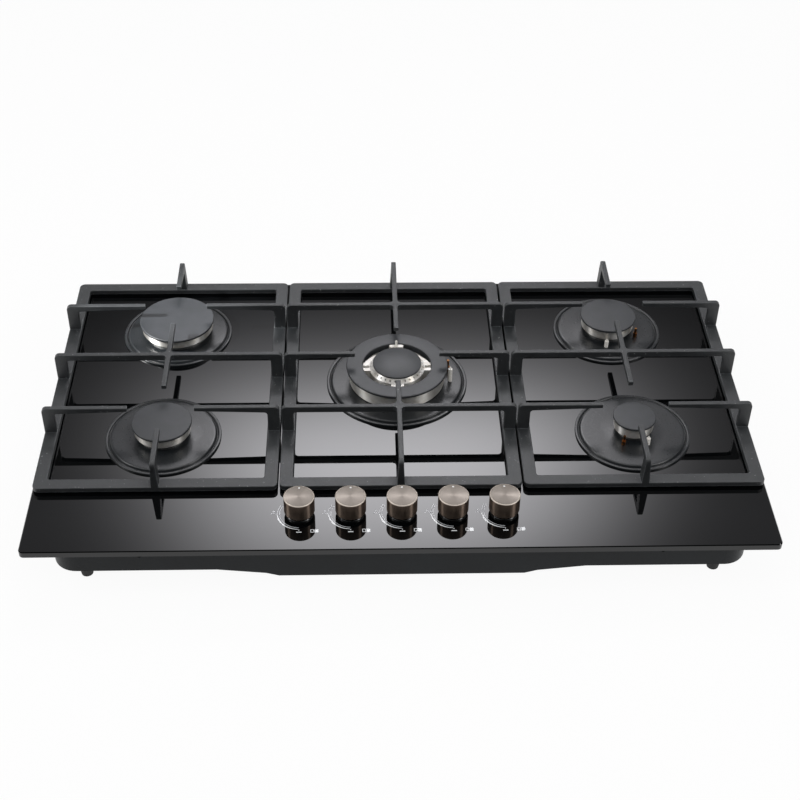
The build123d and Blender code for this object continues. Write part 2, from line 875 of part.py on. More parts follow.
with BuildPart() as inner_cap:
    inner_under = wok_inner_cap_rim - cap_bevel
    inner_rib = wok_inner_crown_top_radius - wok_inner_wall - cap_rib_clearance
    dome_rise = wok_inner_cap_top - wok_inner_cap_rim
    dome_sphere = (wok_inner_cap_radius ** 2 + dome_rise ** 2) / (2 * dome_rise)
    dome_r = wok_inner_cap_radius / 2
    dome_z = wok_inner_cap_top - dome_sphere + sqrt(dome_sphere ** 2 - dome_r ** 2)
    with BuildSketch(Plane((centre_burner.x, centre_burner.y, glass_top),
                           x_dir=(1, 0, 0), z_dir=(0, -1, 0))):
        with BuildLine():
            Polyline([(0.0, wok_inner_cap_top), (0.0, inner_under),
                      (inner_rib - cap_rib_width, inner_under),
                      (inner_rib - cap_rib_width, inner_under - cap_rib_depth),
                      (inner_rib, inner_under - cap_rib_depth), (inner_rib, inner_under),
                      (wok_inner_cap_radius, inner_under),
                      (wok_inner_cap_radius, wok_inner_cap_rim)])
            ThreePointArc((wok_inner_cap_radius, wok_inner_cap_rim), (dome_r, dome_z),
                          (0.0, wok_inner_cap_top))
        make_face()
    revolve(axis=Axis((centre_burner.x, centre_burner.y, 0), (0, 0, 1)), revolution_arc=360)
save(inner_cap.part, "burner_cap_centre_inner")

# ------------------------------------------------------------------ jets and probes
jet_places = [(burner.x, burner.y) for burner in burners]
jet_places.append((centre_burner.x + wok_second_jet_x, centre_burner.y))
jet_bottom = cup_boss_bottom - jet_head_height
jet_profile = [
    (jet_bore_radius, jet_bottom),
    (jet_head_radius, jet_bottom),
    (jet_head_radius, cup_boss_bottom),
    (jet_thread_radius, cup_boss_bottom),
    (jet_thread_radius, cup_flange_top),
    (jet_tip_radius, cup_flange_top + jet_tip_height),
    (jet_bore_radius, cup_flange_top + jet_tip_height),
]
with BuildPart() as injectors:
    add([spun(jet_profile, x, y) for x, y in jet_places])
save(injectors.part, "injectors")


def electrode(burner):
    """Ceramic spark electrode standing in the cup's flange, with a bare tip."""
    top = glass_top + (wok_electrode_top if burner is centre_burner else electrode_top)
    collar = cup_flange_top + electrode_collar_height
    x, y = probe_place(burner, burner.electrode_angle)
    return spun([
        (0.0, cup_flange_bottom - electrode_tail),
        (electrode_radius, cup_flange_bottom - electrode_tail),
        (electrode_radius, cup_flange_top),
        (electrode_collar_radius, cup_flange_top),
        (electrode_collar_radius, collar),
        (electrode_radius, collar),
        (electrode_radius, top - electrode_tip_length),
        (electrode_tip_radius, top - electrode_tip_length),
        (electrode_tip_radius, top),
        (0.0, top),
    ], x, y)


def thermocouple(burner):
    """Flame probe: copper rod in a sleeve, seated on the cup's flange."""
    top = glass_top + (wok_thermocouple_top if burner is centre_burner else thermocouple_top)
    x, y = probe_place(burner, burner.probe_angle)
    return spun([
        (0.0, cup_flange_bottom - electrode_tail),
        (thermocouple_radius, cup_flange_bottom - electrode_tail),
        (thermocouple_radius, cup_flange_top),
        (electrode_collar_radius, cup_flange_top),
        (electrode_collar_radius, cup_flange_top + electrode_collar_height),
        (thermocouple_sleeve_radius, cup_flange_top + electrode_collar_height),
        (thermocouple_sleeve_radius, glass_top + thermocouple_sleeve_top),
        (thermocouple_radius, glass_top + thermocouple_sleeve_top),
        (thermocouple_radius, top),
        (0.0, top),
    ], x, y)


with BuildPart() as electrodes:
    add([electrode(burner) for burner in burners])
save(electrodes.part, "ignition_electrodes")

with BuildPart() as thermocouples:
    add([thermocouple(burner) for burner in burners])
save(thermocouples.part, "thermocouples")

# ------------------------------------------------------------------ gas taps
tap_places = [(x, knob_y) for x in knob_x]


def tap_body(x, y):
    """Die-cast tap: foot on the floor, tapered bore, saddle against the rail, outlet nipple."""
    profile = [
        (0.0, well_floor + sheet),
        (tap_foot_radius, well_floor + sheet),
        (tap_foot_radius, tap_body_bottom),
        (tap_body_radius, tap_body_bottom),
        (tap_body_radius, tap_body_top),
        (spring_chamber_radius, tap_body_top),
        (spring_chamber_radius, plug_top),
        (plug_top_radius + fit_clearance, plug_top),
        (plug_bottom_radius + fit_clearance, plug_bottom - fit_clearance),
        (0.0, plug_bottom - fit_clearance),
    ]
    shell = spun(profile, x, y)
    saddle_low = gas_rail_height - gas_rail_radius
    nipple_back = y + tap_body_radius + nipple_length
    with BuildPart() as body:
        with BuildSketch(Plane.XY.offset(saddle_low)):
            with Locations((x, y + gas_rail_behind_taps / 2)):
                Rectangle(2 * saddle_half_width, gas_rail_behind_taps)
        extrude(amount=2 * gas_rail_radius)
        with BuildSketch(Plane.YZ.offset(x)):
            with Locations((gas_rail_y, gas_rail_height)):
                Circle(gas_rail_radius + fit_clearance)
        extrude(amount=2 * saddle_half_width, both=True, mode=Mode.SUBTRACT)
        with BuildSketch(Plane.XZ.offset(-y)):
            with Locations((x, feed_height)):
                Circle(nipple_radius)
        extrude(amount=-(nipple_back - y))
        with BuildSketch(Plane.XY.offset(plug_bottom - fit_clearance)):
            with Locations((x, y)):
                Circle(tap_body_radius - fit_clearance)
        extrude(amount=tap_body_top - plug_bottom, mode=Mode.SUBTRACT)
        add(shell)
        with BuildSketch(Plane.XY.offset(well_floor + sheet)):
            with Locations((x, y)):
                Circle(screw_radius + fit_clearance)
        extrude(amount=screw_length, mode=Mode.SUBTRACT)
    return body.part


with BuildPart() as tap_bodies:
    add([tap_body(x, y) for x, y in tap_places])
save(tap_bodies.part, "tap_bodies")

with BuildPart() as tap_covers:
    with BuildSketch(Plane.XY.offset(tap_body_top)):
        with Locations(tap_places):
            Circle(tap_body_radius)
    extrude(amount=tap_cover_thickness)
    with BuildSketch(Plane.XY.offset(tap_body_top + tap_cover_thickness)):
        with Locations(tap_places):
            Circle(tap_neck_radius)
    extrude(amount=glass_under - tap_neck_gap - tap_body_top - tap_cover_thickness)
    with BuildSketch(Plane.XY.offset(tap_body_top)):
        with Locations(tap_places):
            Circle(spindle_radius + spindle_bore_clearance)
    extrude(amount=glass_under - tap_body_top, mode=Mode.SUBTRACT)
save(tap_covers.part, "tap_covers")


def tap_plug(x, y):
    """Tapered plug that meters the gas, slotted on top for the spindle's blade."""
    cone = spun([(0.0, plug_bottom), (plug_bottom_radius, plug_bottom),
                 (plug_top_radius, plug_top), (0.0, plug_top)], x, y)
    with BuildPart() as plug:
        add(cone)
        with BuildSketch(Plane.XY.offset(plug_top - plug_slot_depth)):
            with Locations((x, y)):
                Rectangle(3 * plug_top_radius, plug_slot_width)
        extrude(amount=plug_slot_depth, mode=Mode.SUBTRACT)
    return plug.part


def spindle(x, y):
    """D-shaped shaft with a collar for the return spring and a blade in the plug's slot."""
    blade_bottom = plug_top - spindle_blade_entry
    with BuildPart() as shaft:
        with BuildSketch(Plane.XY.offset(blade_bottom)):
            with Locations((x, y)):
                Rectangle(spindle_blade_width, spindle_blade_thickness)
        extrude(amount=collar_bottom - blade_bottom)
        with BuildSketch(Plane.XY.offset(collar_bottom)):
            with Locations((x, y)):
                Circle(spindle_collar_radius)
        extrude(amount=spindle_collar_height)
        with BuildSketch(Plane.XY.offset(collar_top)):
            with Locations((x, y)):
                Circle(spindle_radius)
        extrude(amount=glass_top + knob_bottom - collar_top)
        with BuildSketch(Plane.XY.offset(glass_top + knob_bottom)) as d_section:
            with Locations((x, y)):
                Circle(spindle_radius)
            with Locations((x, y + spindle_flat + spindle_radius)):
                Rectangle(2 * spindle_radius, 2 * spindle_radius, mode=Mode.SUBTRACT)
        extrude(amount=spindle_above_glass - knob_bottom)
    return shaft.part


def return_spring(x, y):
    """Coil spring between the plug and the spindle's collar."""
    coil_bottom = plug_top + spring_wire_radius + fit_clearance
    coil_height = collar_bottom - plug_top - 2 * (spring_wire_radius + fit_clearance)
    with BuildPart() as spring:
        with BuildLine() as coil:
            Helix(coil_height / spring_turns, coil_height, spring_radius,
                  center=(x, y, coil_bottom))
        with BuildSketch(Plane(coil.line @ 0, z_dir=coil.line % 0)):
            Circle(spring_wire_radius)
        sweep(is_frenet=True)
    return spring.part


def knob(x, y):
    """Hollow cylindrical knob with a hub for the D-shaped spindle and an index dimple."""
    bottom = glass_top + knob_bottom
    top = glass_top + knob_top
    with BuildPart() as grip:
        with BuildSketch(Plane.XY.offset(bottom)):
            with Locations((x, y)):
                Circle(knob_radius)
        extrude(amount=top - bottom)
        chamfer(grip.faces().sort_by(Axis.Z)[-1].edges(), knob_chamfer)
        with BuildSketch(Plane.XY.offset(bottom)):
            with Locations((x, y)):
                Circle(knob_radius - knob_shell)
                Circle(knob_hub_radius, mode=Mode.SUBTRACT)
        extrude(amount=top - bottom - knob_cap, mode=Mode.SUBTRACT)
        with BuildSketch(Plane.XY.offset(bottom)):
            with Locations((x, y)):
                Circle(spindle_radius + fit_clearance)
            with Locations((x, y + spindle_flat + fit_clearance + spindle_radius)):
                Rectangle(2 * knob_hub_radius, 2 * spindle_radius, mode=Mode.SUBTRACT)
        extrude(amount=spindle_above_glass - knob_bottom + fit_clearance, mode=Mode.SUBTRACT)
        with BuildSketch(Plane.XY.offset(top - knob_dot_depth)):
            with Locations((x, y + knob_dot_offset)):
                Circle(knob_dot_radius)
        extrude(amount=knob_dot_depth, mode=Mode.SUBTRACT)
    return grip.part


for number, (x, y) in enumerate(tap_places, start=1):
    save(tap_plug(x, y), f"tap_plug_{number}")
    save(spindle(x, y), f"spindle_{number}")
    save(return_spring(x, y), f"return_spring_{number}")
    save(knob(x, y), f"knob_{number}")

with BuildPart() as bezels:
    with BuildSketch(Plane.XY.offset(glass_top)):
        with Locations(tap_places):
            Circle(bezel_radius)
    extrude(amount=bezel_height)
    chamfer(bezels.faces().group_by(Axis.Z)[-1].edges(), bezel_chamfer)
    with BuildSketch(Plane.XY.offset(glass_top)):
        with Locations(tap_places):
            Circle(spindle_radius + bezel_bore_clearance)
    extrude(amount=bezel_height, mode=Mode.SUBTRACT)
save(bezels.part, "knob_bezels")

with BuildPart() as switches:
    switch_y = knob_y - tap_neck_radius - switch_clearance - switch_depth / 2
    with BuildSketch(Plane.XY.offset(tap_body_top + tap_cover_thickness)):
        with Locations([(x, switch_y) for x in knob_x]):
            Rectangle(switch_width, switch_depth)
    extrude(amount=min(switch_height, glass_under - tap_body_top - tap_cover_thickness
                       - switch_clearance))
save(switches.part, "ignition_switches")

# ------------------------------------------------------------------ gas rail and tubes
rail_start = knob_x[0] - gas_rail_overrun
inner_wall_y = back_wall - sheet
with BuildPart() as gas_rail:
    with BuildLine():
        FilletPolyline([(rail_start, gas_rail_y, gas_rail_height),
                        (inlet_x, gas_rail_y, gas_rail_height),
                        (inlet_x, inner_wall_y - inlet_nut_length, gas_rail_height)],
                       radius=gas_rail_bend)
    with BuildSketch(Plane((rail_start, gas_rail_y, gas_rail_height), z_dir=(1, 0, 0))):
        Circle(gas_rail_radius)
        Circle(gas_rail_bore, mode=Mode.SUBTRACT)
    sweep()
    with BuildSketch(Plane((rail_start, gas_rail_y, gas_rail_height), z_dir=(-1, 0, 0))):
        Circle(gas_rail_radius)
    extrude(amount=sheet)
    with BuildSketch(Plane((inlet_x, inner_wall_y - inlet_nut_length, gas_rail_height),
                           z_dir=(0, 1, 0))):
        RegularPolygon(inlet_nut_radius, 6)
        Circle(inlet_bore_radius, mode=Mode.SUBTRACT)
    extrude(amount=inlet_nut_length)
    with BuildSketch(Plane((inlet_x, inner_wall_y, gas_rail_height), z_dir=(0, 1, 0))):
        Circle(inlet_neck_radius)
        Circle(inlet_bore_radius, mode=Mode.SUBTRACT)
    extrude(amount=sheet + inlet_neck_gap)
    with BuildSketch(Plane((inlet_x, back_wall + inlet_neck_gap, gas_rail_height),
                           z_dir=(0, 1, 0))):
        Circle(inlet_thread_radius)
        Circle(inlet_bore_radius, mode=Mode.SUBTRACT)
    extrude(amount=inlet_thread_length)
save(gas_rail.part, "gas_rail")


def tube(points):
    """Bent tube along straight runs in the plane of the feed, joined by arcs."""
    start = Vector(*points[0])
    direction = Vector(*points[1]) - start
    with BuildPart() as pipe:
        with BuildLine():
            FilletPolyline(points, radius=feed_bend)
        with BuildSketch(Plane(start, z_dir=direction)):
            Circle(feed_radius)
            Circle(feed_bore, mode=Mode.SUBTRACT)
        sweep()
    return pipe.part


def feed_route(x, lane, turn_x, burner):
    """Route from a tap's nipple to a burner's jet: back, sideways, back again and up."""
    start_y = knob_y + tap_body_radius + nipple_length
    lane_y = knob_y + lane
    route = [(x, start_y), (x, lane_y), (turn_x, lane_y), (turn_x, burner.y)]
    if turn_x != burner.x:
        route.append((burner.x, burner.y))
    flat = [(px, py, feed_height) for px, py in route]
    return flat + [(burner.x, burner.y, jet_bottom)]


by_name = {burner.name: burner for burner in burners}
centre_start = knob_y + tap_body_radius + nipple_length
tube_routes = [
    feed_route(knob_x[0], feed_near_lane, -side_x, by_name["front_left"]),
    feed_route(knob_x[1], feed_far_lane, -feed_side_x, by_name["back_left"]),
    [(0.0, centre_start, feed_height), (0.0, centre_burner.y, feed_height),
     (0.0, centre_burner.y, jet_bottom)],
    [(feed_radius, feed_tee_y, feed_height), (wok_second_jet_x, feed_tee_y, feed_height),
     (wok_second_jet_x, centre_burner.y, feed_height),
     (wok_second_jet_x, centre_burner.y, jet_bottom)],
    feed_route(knob_x[3], feed_far_lane, feed_side_x, by_name["back_right"]),
    feed_route(knob_x[4], feed_near_lane, side_x, by_name["front_right"]),
]
with BuildPart() as feed_tubes:
    add([tube(route) for route in tube_routes])
save(feed_tubes.part, "feed_tubes")

# ------------------------------------------------------------------ ignition
with BuildPart() as generator:
    with BuildSketch(Plane.XY.offset(well_floor + sheet)):
        with Locations(generator_place):
            RectangleRounded(generator_size[0], generator_size[1], generator_corner)
    extrude(amount=generator_size[2])
    with BuildSketch(Plane.XY.offset(well_floor + sheet + generator_size[2])):
        with Locations(generator_place):
            with GridLocations(terminal_pitch, 1.0, terminal_count, 1):
                Circle(terminal_radius)
    extrude(amount=terminal_length)
save(generator.part, "spark_generator")

with BuildPart() as battery_box:
    with BuildSketch(Plane.XY.offset(well_floor + sheet)):
        with Locations(battery_box_place):
            RectangleRounded(battery_box_size[0], battery_box_size[1], battery_box_corner)
    extrude(amount=battery_box_size[2])
    with BuildSketch(Plane.XY.offset(well_floor + sheet)):
        with Locations(battery_box_place):
            RectangleRounded(battery_box_size[0] - 2 * battery_box_wall,
                             battery_box_size[1] - 2 * battery_box_wall,
                             battery_box_corner - battery_box_wall)
    extrude(amount=battery_box_size[2] - battery_box_wall, mode=Mode.SUBTRACT)
save(battery_box.part, "battery_box")


# ------------------------------------------------------------------ screws
def screw(x, y, floor):
    """Low-head screw driven up through the floor of the housing."""
    return spun([
        (0.0, floor - screw_head_height),
        (screw_head_radius, floor - screw_head_height),
        (screw_head_radius, floor),
        (screw_radius, floor),
        (screw_radius, floor + sheet + screw_length - screw_end_gap),
        (0.0, floor + sheet + screw_length - screw_end_gap),
    ], x, y)


with BuildPart() as screws:
    add([screw(x, y, burner.floor) for burner in burners for x, y in leg_places(burner)])
    add([screw(x, y, well_floor) for x, y in tap_places])
save(screws.part, "fixing_screws")
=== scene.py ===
"""Looks for a five-burner gas cooktop with a black glass panel.

Laid out as an add-on: settings, one operator for each group of pieces, a panel and main().
Metres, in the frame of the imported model: X right, Y back, Z up, knobs at the front.
"""

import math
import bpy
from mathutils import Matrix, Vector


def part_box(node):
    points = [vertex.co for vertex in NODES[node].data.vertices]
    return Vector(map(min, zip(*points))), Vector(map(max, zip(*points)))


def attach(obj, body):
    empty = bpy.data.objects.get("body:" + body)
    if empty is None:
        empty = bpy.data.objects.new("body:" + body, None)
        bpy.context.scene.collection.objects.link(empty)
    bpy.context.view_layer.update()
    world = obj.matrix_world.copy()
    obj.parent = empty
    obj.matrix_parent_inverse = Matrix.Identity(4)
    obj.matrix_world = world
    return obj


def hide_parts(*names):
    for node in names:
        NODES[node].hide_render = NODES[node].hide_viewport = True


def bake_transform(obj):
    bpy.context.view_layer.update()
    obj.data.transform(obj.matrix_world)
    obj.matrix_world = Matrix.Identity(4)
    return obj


bl_info = {
    "name": "Gas cooktop looks",
    "version": (1, 0, 0),
    "blender": (4, 5, 0),
    "location": "View3D > Sidebar > Cooktop",
    "description": "Dresses the parts of a five-burner gas cooktop and sets up its studio",
    "category": "Object",
}

import bmesh
import bpy
import numpy as np
from mathutils import Matrix, Vector

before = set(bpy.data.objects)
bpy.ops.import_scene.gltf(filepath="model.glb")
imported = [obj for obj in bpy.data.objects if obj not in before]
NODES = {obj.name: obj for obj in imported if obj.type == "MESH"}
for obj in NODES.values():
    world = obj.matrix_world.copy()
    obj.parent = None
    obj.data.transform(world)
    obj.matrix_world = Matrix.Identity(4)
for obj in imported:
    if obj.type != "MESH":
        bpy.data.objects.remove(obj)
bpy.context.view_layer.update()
MM = 0.001
SIDE_BURNERS = ("back_left", "front_left", "back_right", "front_right")
ALL_BURNERS = SIDE_BURNERS + ("centre",)
KNOBS = range(1, 6)
NOISE_SPAN = (0.3, 0.7)  # holds most values of a noise texture
QUARTER_TURN = 0.25  # anisotropic rotation that draws highlights out across the tool lines


# ------------------------------------------------------------------ colour and nodes
def linear(code):
    """Linear RGBA of an sRGB hex code such as '2a2c2e'."""
    srgb = np.array([int(code[i:i + 2], 16) for i in (0, 2, 4)]) / 255
    rgb = np.where(srgb <= 0.04045, srgb / 12.92, ((srgb + 0.055) / 1.055) ** 2.4)
    return (*(float(c) for c in rgb), 1.0)


def put(tree, kind, inputs=(), **settings):
    """Adds a node; settings are its properties.

    Its inputs are values or the sockets that feed them, in order or under their names.
    """
    made = tree.nodes.new(kind)
    for name, value in settings.items():
        setattr(made, name, value)
    named = inputs if isinstance(inputs, dict) else dict(enumerate(inputs))
    for key, value in named.items():
        if isinstance(value, bpy.types.NodeSocket):
            tree.links.new(value, made.inputs[key])
        else:
            made.inputs[key].default_value = value
    return made


def surface(name, colour, roughness, metallic=0.0, **shader):
    """New material with one Principled shader; returns the material, its tree and the shader."""
    material = bpy.data.materials.new(name)
    material.use_nodes = True
    tree = material.node_tree
    tree.nodes.clear()
    inputs = {"Base Color": colour, "Roughness": roughness, "Metallic": metallic}
    inputs.update({key.replace("_", " "): value for key, value in shader.items()})
    principled = put(tree, "ShaderNodeBsdfPrincipled", inputs)
    put(tree, "ShaderNodeOutputMaterial", {"Surface": principled.outputs[0]})
    return material, tree, principled


def lumps(tree, size_mm, detail=2.0, stretch=(1, 1, 1)):
    """Noise on Object coordinates: lumps about size_mm wide, stretched along the axes."""
    place = put(tree, "ShaderNodeTexCoord").outputs["Object"]
    scale = tuple(1000 / size_mm / s for s in stretch)
    scaled = put(tree, "ShaderNodeMapping", {"Vector": place, "Scale": scale})
    return put(tree, "ShaderNodeTexNoise", {"Vector": scaled.outputs[0], "Scale": 1.0,
                                            "Detail": detail}).outputs["Fac"]


def lathe_lines(tree, spacing_mm):
    """Noise along the turned profile only: rings spacing_mm apart, from the UV map 'turned'."""
    place = put(tree, "ShaderNodeUVMap", uv_map="turned").outputs[0]
    along = put(tree, "ShaderNodeSeparateXYZ", [place]).outputs[1]
    scaled = put(tree, "ShaderNodeMath", [along, 1000 / spacing_mm], operation="MULTIPLY")
    return put(tree, "ShaderNodeTexNoise", {"W": scaled.outputs[0], "Scale": 1.0, "Detail": 2.0},
               noise_dimensions="1D").outputs["Fac"]


def blotched(tree, noise, low, high, span=NOISE_SPAN, most=1.0):
    """Colour that goes from low to a share `most` of high as a noise goes through its span."""
    share = put(tree, "ShaderNodeMapRange", [noise, *span, 0.0, most]).outputs[0]
    return put(tree, "ShaderNodeMix", {0: share, 6: low, 7: high}, data_type="RGBA").outputs[2]


def tint(tree, shader, noise, low, high, span=NOISE_SPAN, most=1.0):
    """Base colour that goes from low to high with a noise, as `blotched` gives it."""
    tree.links.new(blotched(tree, noise, low, high, span, most), shader.inputs["Base Color"])


def roughen(tree, shader, noise, low, high, span=NOISE_SPAN):
    """Roughness that goes from low to high as a noise goes through its span."""
    rough = put(tree, "ShaderNodeMapRange", [noise, *span, low, high])
    tree.links.new(rough.outputs[0], shader.inputs["Roughness"])


def emboss(tree, shader, height, depth_mm):
    """Bump of the given depth on a shader."""
    bump = put(tree, "ShaderNodeBump", {"Height": height, "Distance": depth_mm * MM,
                                        "Strength": 1.0})
    tree.links.new(bump.outputs[0], shader.inputs["Normal"])


def edges_of(tree, radius_mm):
    """1 on edges sharper than the radius and 0 on flats, where a rounded normal stays the same."""
    rounded = put(tree, "ShaderNodeBevel", {"Radius": radius_mm * MM}, samples=4).outputs[0]
    true = put(tree, "ShaderNodeNewGeometry").outputs["Normal"]
    dot = put(tree, "ShaderNodeVectorMath", [rounded, true], operation="DOT_PRODUCT")
    same, turned_away = 1.0, 0.8
    return put(tree, "ShaderNodeMapRange", [dot.outputs["Value"], same, turned_away]).outputs[0]


# ------------------------------------------------------------------ meshes
def linked(name, data):
    """New object in the scene's collection."""
    made = bpy.data.objects.new(name, data)
    bpy.context.scene.collection.objects.link(made)
    return made


def quads(index):
    """Faces between neighbouring rows and columns of a grid of vertex numbers."""
    corners = [index[:-1, :-1], index[:-1, 1:], index[1:, 1:], index[1:, :-1]]
    return np.stack(corners, -1).reshape(-1, 4)


def sleeve(rings, sides):
    """Faces between loops of `sides` points each, and the loops as rows of vertex numbers."""
    index = np.arange(rings * sides).reshape(rings, sides)
    return quads(np.column_stack([index, index[:, 0]])), index


def new_piece(name, vertices, faces, body, materials, uv=None, material_rows=None,
              smooth_angle=32.0):
    """Mesh object from arrays, with its doubles merged and its faces turned outwards.

    It rides on `body`, or on nothing yet if that is None.
    """
    mesh = bpy.data.meshes.new(name)
    mesh.from_pydata(np.asarray(vertices, float).tolist(), [], [list(f) for f in faces])
    if material_rows is not None:
        mesh.polygons.foreach_set("material_index", np.asarray(material_rows, np.int32))
    if uv is not None:
        layer = mesh.uv_layers.new(name="turned")
        layer.uv.foreach_set("vector", np.asarray(uv, np.float32).ravel())
    work = bmesh.new()
    work.from_mesh(mesh)
    weld = 1e-7
    bmesh.ops.remove_doubles(work, verts=work.verts, dist=weld)
    bmesh.ops.recalc_face_normals(work, faces=work.faces)
    work.to_mesh(mesh)
    work.free()
    mesh.polygons.foreach_set("use_smooth", np.ones(len(mesh.polygons), bool))
    mesh.set_sharp_from_angle(angle=math.radians(smooth_angle))
    for material in materials:
        mesh.materials.append(material)
    piece = linked(name, mesh)
    if body:
        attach(piece, body)
    return piece


def softened(points, cut, steps=5):
    """Closed profile with every corner replaced by a parabola.

    Corner V with neighbours P and N becomes (1-t)^2 A + 2t(1-t) V + t^2 C, where A and C lie
    on the sides VP and VN at the corner's own cut from V, and t runs from 0 to 1.
    """
    p = np.asarray(points, float)
    cut = np.broadcast_to(np.asarray(cut, float), (len(p),))
    back = np.roll(p, 1, 0) - p
    ahead = np.roll(p, -1, 0) - p
    back_length, ahead_length = (np.linalg.norm(v, axis=1) for v in (back, ahead))
    most = 0.45  # of the shorter side, so that two cuts leave some of it
    reach = np.minimum(cut, most * np.minimum(back_length, ahead_length))
    a = p + back / back_length[:, None] * reach[:, None]
    c = p + ahead / ahead_length[:, None] * reach[:, None]
    t = np.linspace(0, 1, steps)[None, :, None]
    curve = (1 - t) ** 2 * a[:, None] + 2 * t * (1 - t) * p[:, None] + t ** 2 * c[:, None]
    counts = np.where(reach > 1e-9, steps, 1)
    keep = np.arange(steps)[None] < counts[:, None]
    return curve[keep]


def turned(profile, centre, steps=144):
    """Surface turned about the vertical through `centre`, as vertices, faces and UV corners.

    The profile closes on itself.  With its points (r_i, z_i) and angles a_j = 2 pi j / steps,
    vertex (i, j) is (cx + r_i cos a_j, cy + r_i sin a_j, z_i).  The UV map holds the share of
    the turn and the length along the profile in metres.
    """
    r, z = np.asarray(profile, float).T
    r, z = np.append(r, r[0]), np.append(z, z[0])
    a = 2 * np.pi * np.arange(steps + 1) / steps
    grid = np.stack([centre[0] + np.outer(r, np.cos(a)), centre[1] + np.outer(r, np.sin(a)),
                     np.repeat(z[:, None], steps + 1, 1)], -1)
    faces = quads(np.arange(len(r) * (steps + 1)).reshape(len(r), steps + 1))
    along = np.concatenate([[0], np.cumsum(np.hypot(np.diff(r), np.diff(z)))])
    uv = np.stack(np.broadcast_arrays(np.arange(steps + 1)[None] / steps, along[:, None]), -1)
    return grid.reshape(-1, 3), faces, uv.reshape(-1, 2)[faces].reshape(-1, 2)


def carried(path, widths, low, high):
    """Flat band: a rectangle of each width and of height low..high, carried along a path.

    Point (i, k) is path_i +- n_i width_i / 2 at height low or high, with n_i the path's normal.
    """
    p = np.asarray(path, float)
    w = np.broadcast_to(np.asarray(widths, float), (len(p),))
    tangent = np.gradient(p, axis=0)
    tangent /= np.linalg.norm(tangent, axis=1)[:, None]
    normal = np.stack([-tangent[:, 1], tangent[:, 0]], 1) * w[:, None] / 2
    left, right = p + normal, p - normal
    ring = np.stack([np.column_stack([side, np.full(len(p), h)])
                     for side, h in ((left, low), (right, low), (right, high), (left, high))], 1)
    faces, index = sleeve(len(p), 4)
    return ring.reshape(-1, 3), np.concatenate([faces, index[[0, -1]]])


def joined(parts):
    """Several (vertices, faces[, uv]) sets as one."""
    parts = list(parts)
    starts = np.cumsum([0] + [len(p[0]) for p in parts[:-1]])
    vertices = np.concatenate([p[0] for p in parts])
    faces = np.concatenate([p[1] + s for p, s in zip(parts, starts)])
    uv = np.concatenate([p[2] for p in parts]) if len(parts[0]) > 2 else None
    return vertices, faces, uv


def middle(node):
    """Plan centre, radius, lowest and highest point of a round node."""
    low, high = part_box(node)
    return ((low.x + high.x) / 2, (low.y + high.y) / 2), (high.x - low.x) / 2, low.z, high.z


def dress(names, material):
    """Gives CAD nodes one material."""
    for name in names:
        NODES[name].data.materials.clear()
        NODES[name].data.materials.append(material)


# ------------------------------------------------------------------ settings
def colour(name, description, code):
    """Colour setting whose default is an sRGB hex code."""
    return bpy.props.FloatVectorProperty(name=name, description=description, size=4,
                                         subtype="COLOR", default=linear(code))


def gloss(name, description, default):
    """Roughness setting."""
    return bpy.props.FloatProperty(name=name, description=description, default=default, min=0,
                                   max=1, subtype="FACTOR")


def length(name, description, default, least=0.0001):
    """Length setting, in metres."""
    return bpy.props.FloatProperty(name=name, description=description, default=default,
                                   min=least, unit="LENGTH")


class CooktopFinish(bpy.types.PropertyGroup):
    """Colours and gloss of the cooktop's surfaces."""
    glass: colour("Glass", "Tempered glass, enamelled black on its back", "050607")
    glass_roughness: gloss("Glass roughness", "Polished float glass", 0.012)
    iron: colour("Cast iron", "Matt enamel on the pan supports", "1a1d20")
    iron_roughness: gloss("Cast iron roughness", "Matt enamel over cast grain", 0.5)
    cap: colour("Burner cap", "Matt enamel on the burner caps", "272a2d")
    ring: colour("Drip ring", "Satin enamel on the drip rings", "16191b")
    aluminium: colour("Aluminium", "Turned burner crowns", "e6e4e0")
    housing: colour("Housing", "Satin paint on the steel housing", "0f1214")
    knob_top: colour("Knob top", "Spun metal of the knobs' tops", "7c766f")
    knob_side: colour("Knob side", "Black chrome of the knobs' sides", "8c7b6e")
    knob_rim: colour("Knob rim", "Cut edge of the knobs' tops", "d2c9bf")
    print_white: colour("Dial print", "Screen-printed marks on the glass", "f3f5f6")


class CooktopSizes(bpy.types.PropertyGroup):
    """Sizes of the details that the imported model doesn't hold."""
    rim_round: length("Cap rim", "Rounding of the burner caps' rims", 0.0009)
    dial_radius: length("Dial radius", "Radius of the printed arc round a knob", 0.0255, 0.001)
    print_height: length("Print height", "Thickness of the printed marks", 0.00008, 0.00001)
    dot_radius: length("Index dot", "Radius of the white dot on a knob", 0.00115)
    candle_radius: length("Centre candle", "Radius of the small candle on the centre burner",
                          0.0015)


def finish_of(context):
    return context.scene.cooktop_finish


def sizes_of(context):
    return context.scene.cooktop_sizes


# ------------------------------------------------------------------ materials
def polished_glass(look):
    """Tempered float glass, black behind: a mirror-like face with a faint roller wave."""
    smooth, haze = look.glass_roughness, 0.035
    material, tree, shader = surface("tempered_glass_polished", look.glass, smooth, IOR=1.52)
    roughen(tree, shader, lumps(tree, 70, 3), smooth, smooth + haze, span=(0.45, 0.8))
    emboss(tree, shader, lumps(tree, 160, 1), 0.012)
    return material


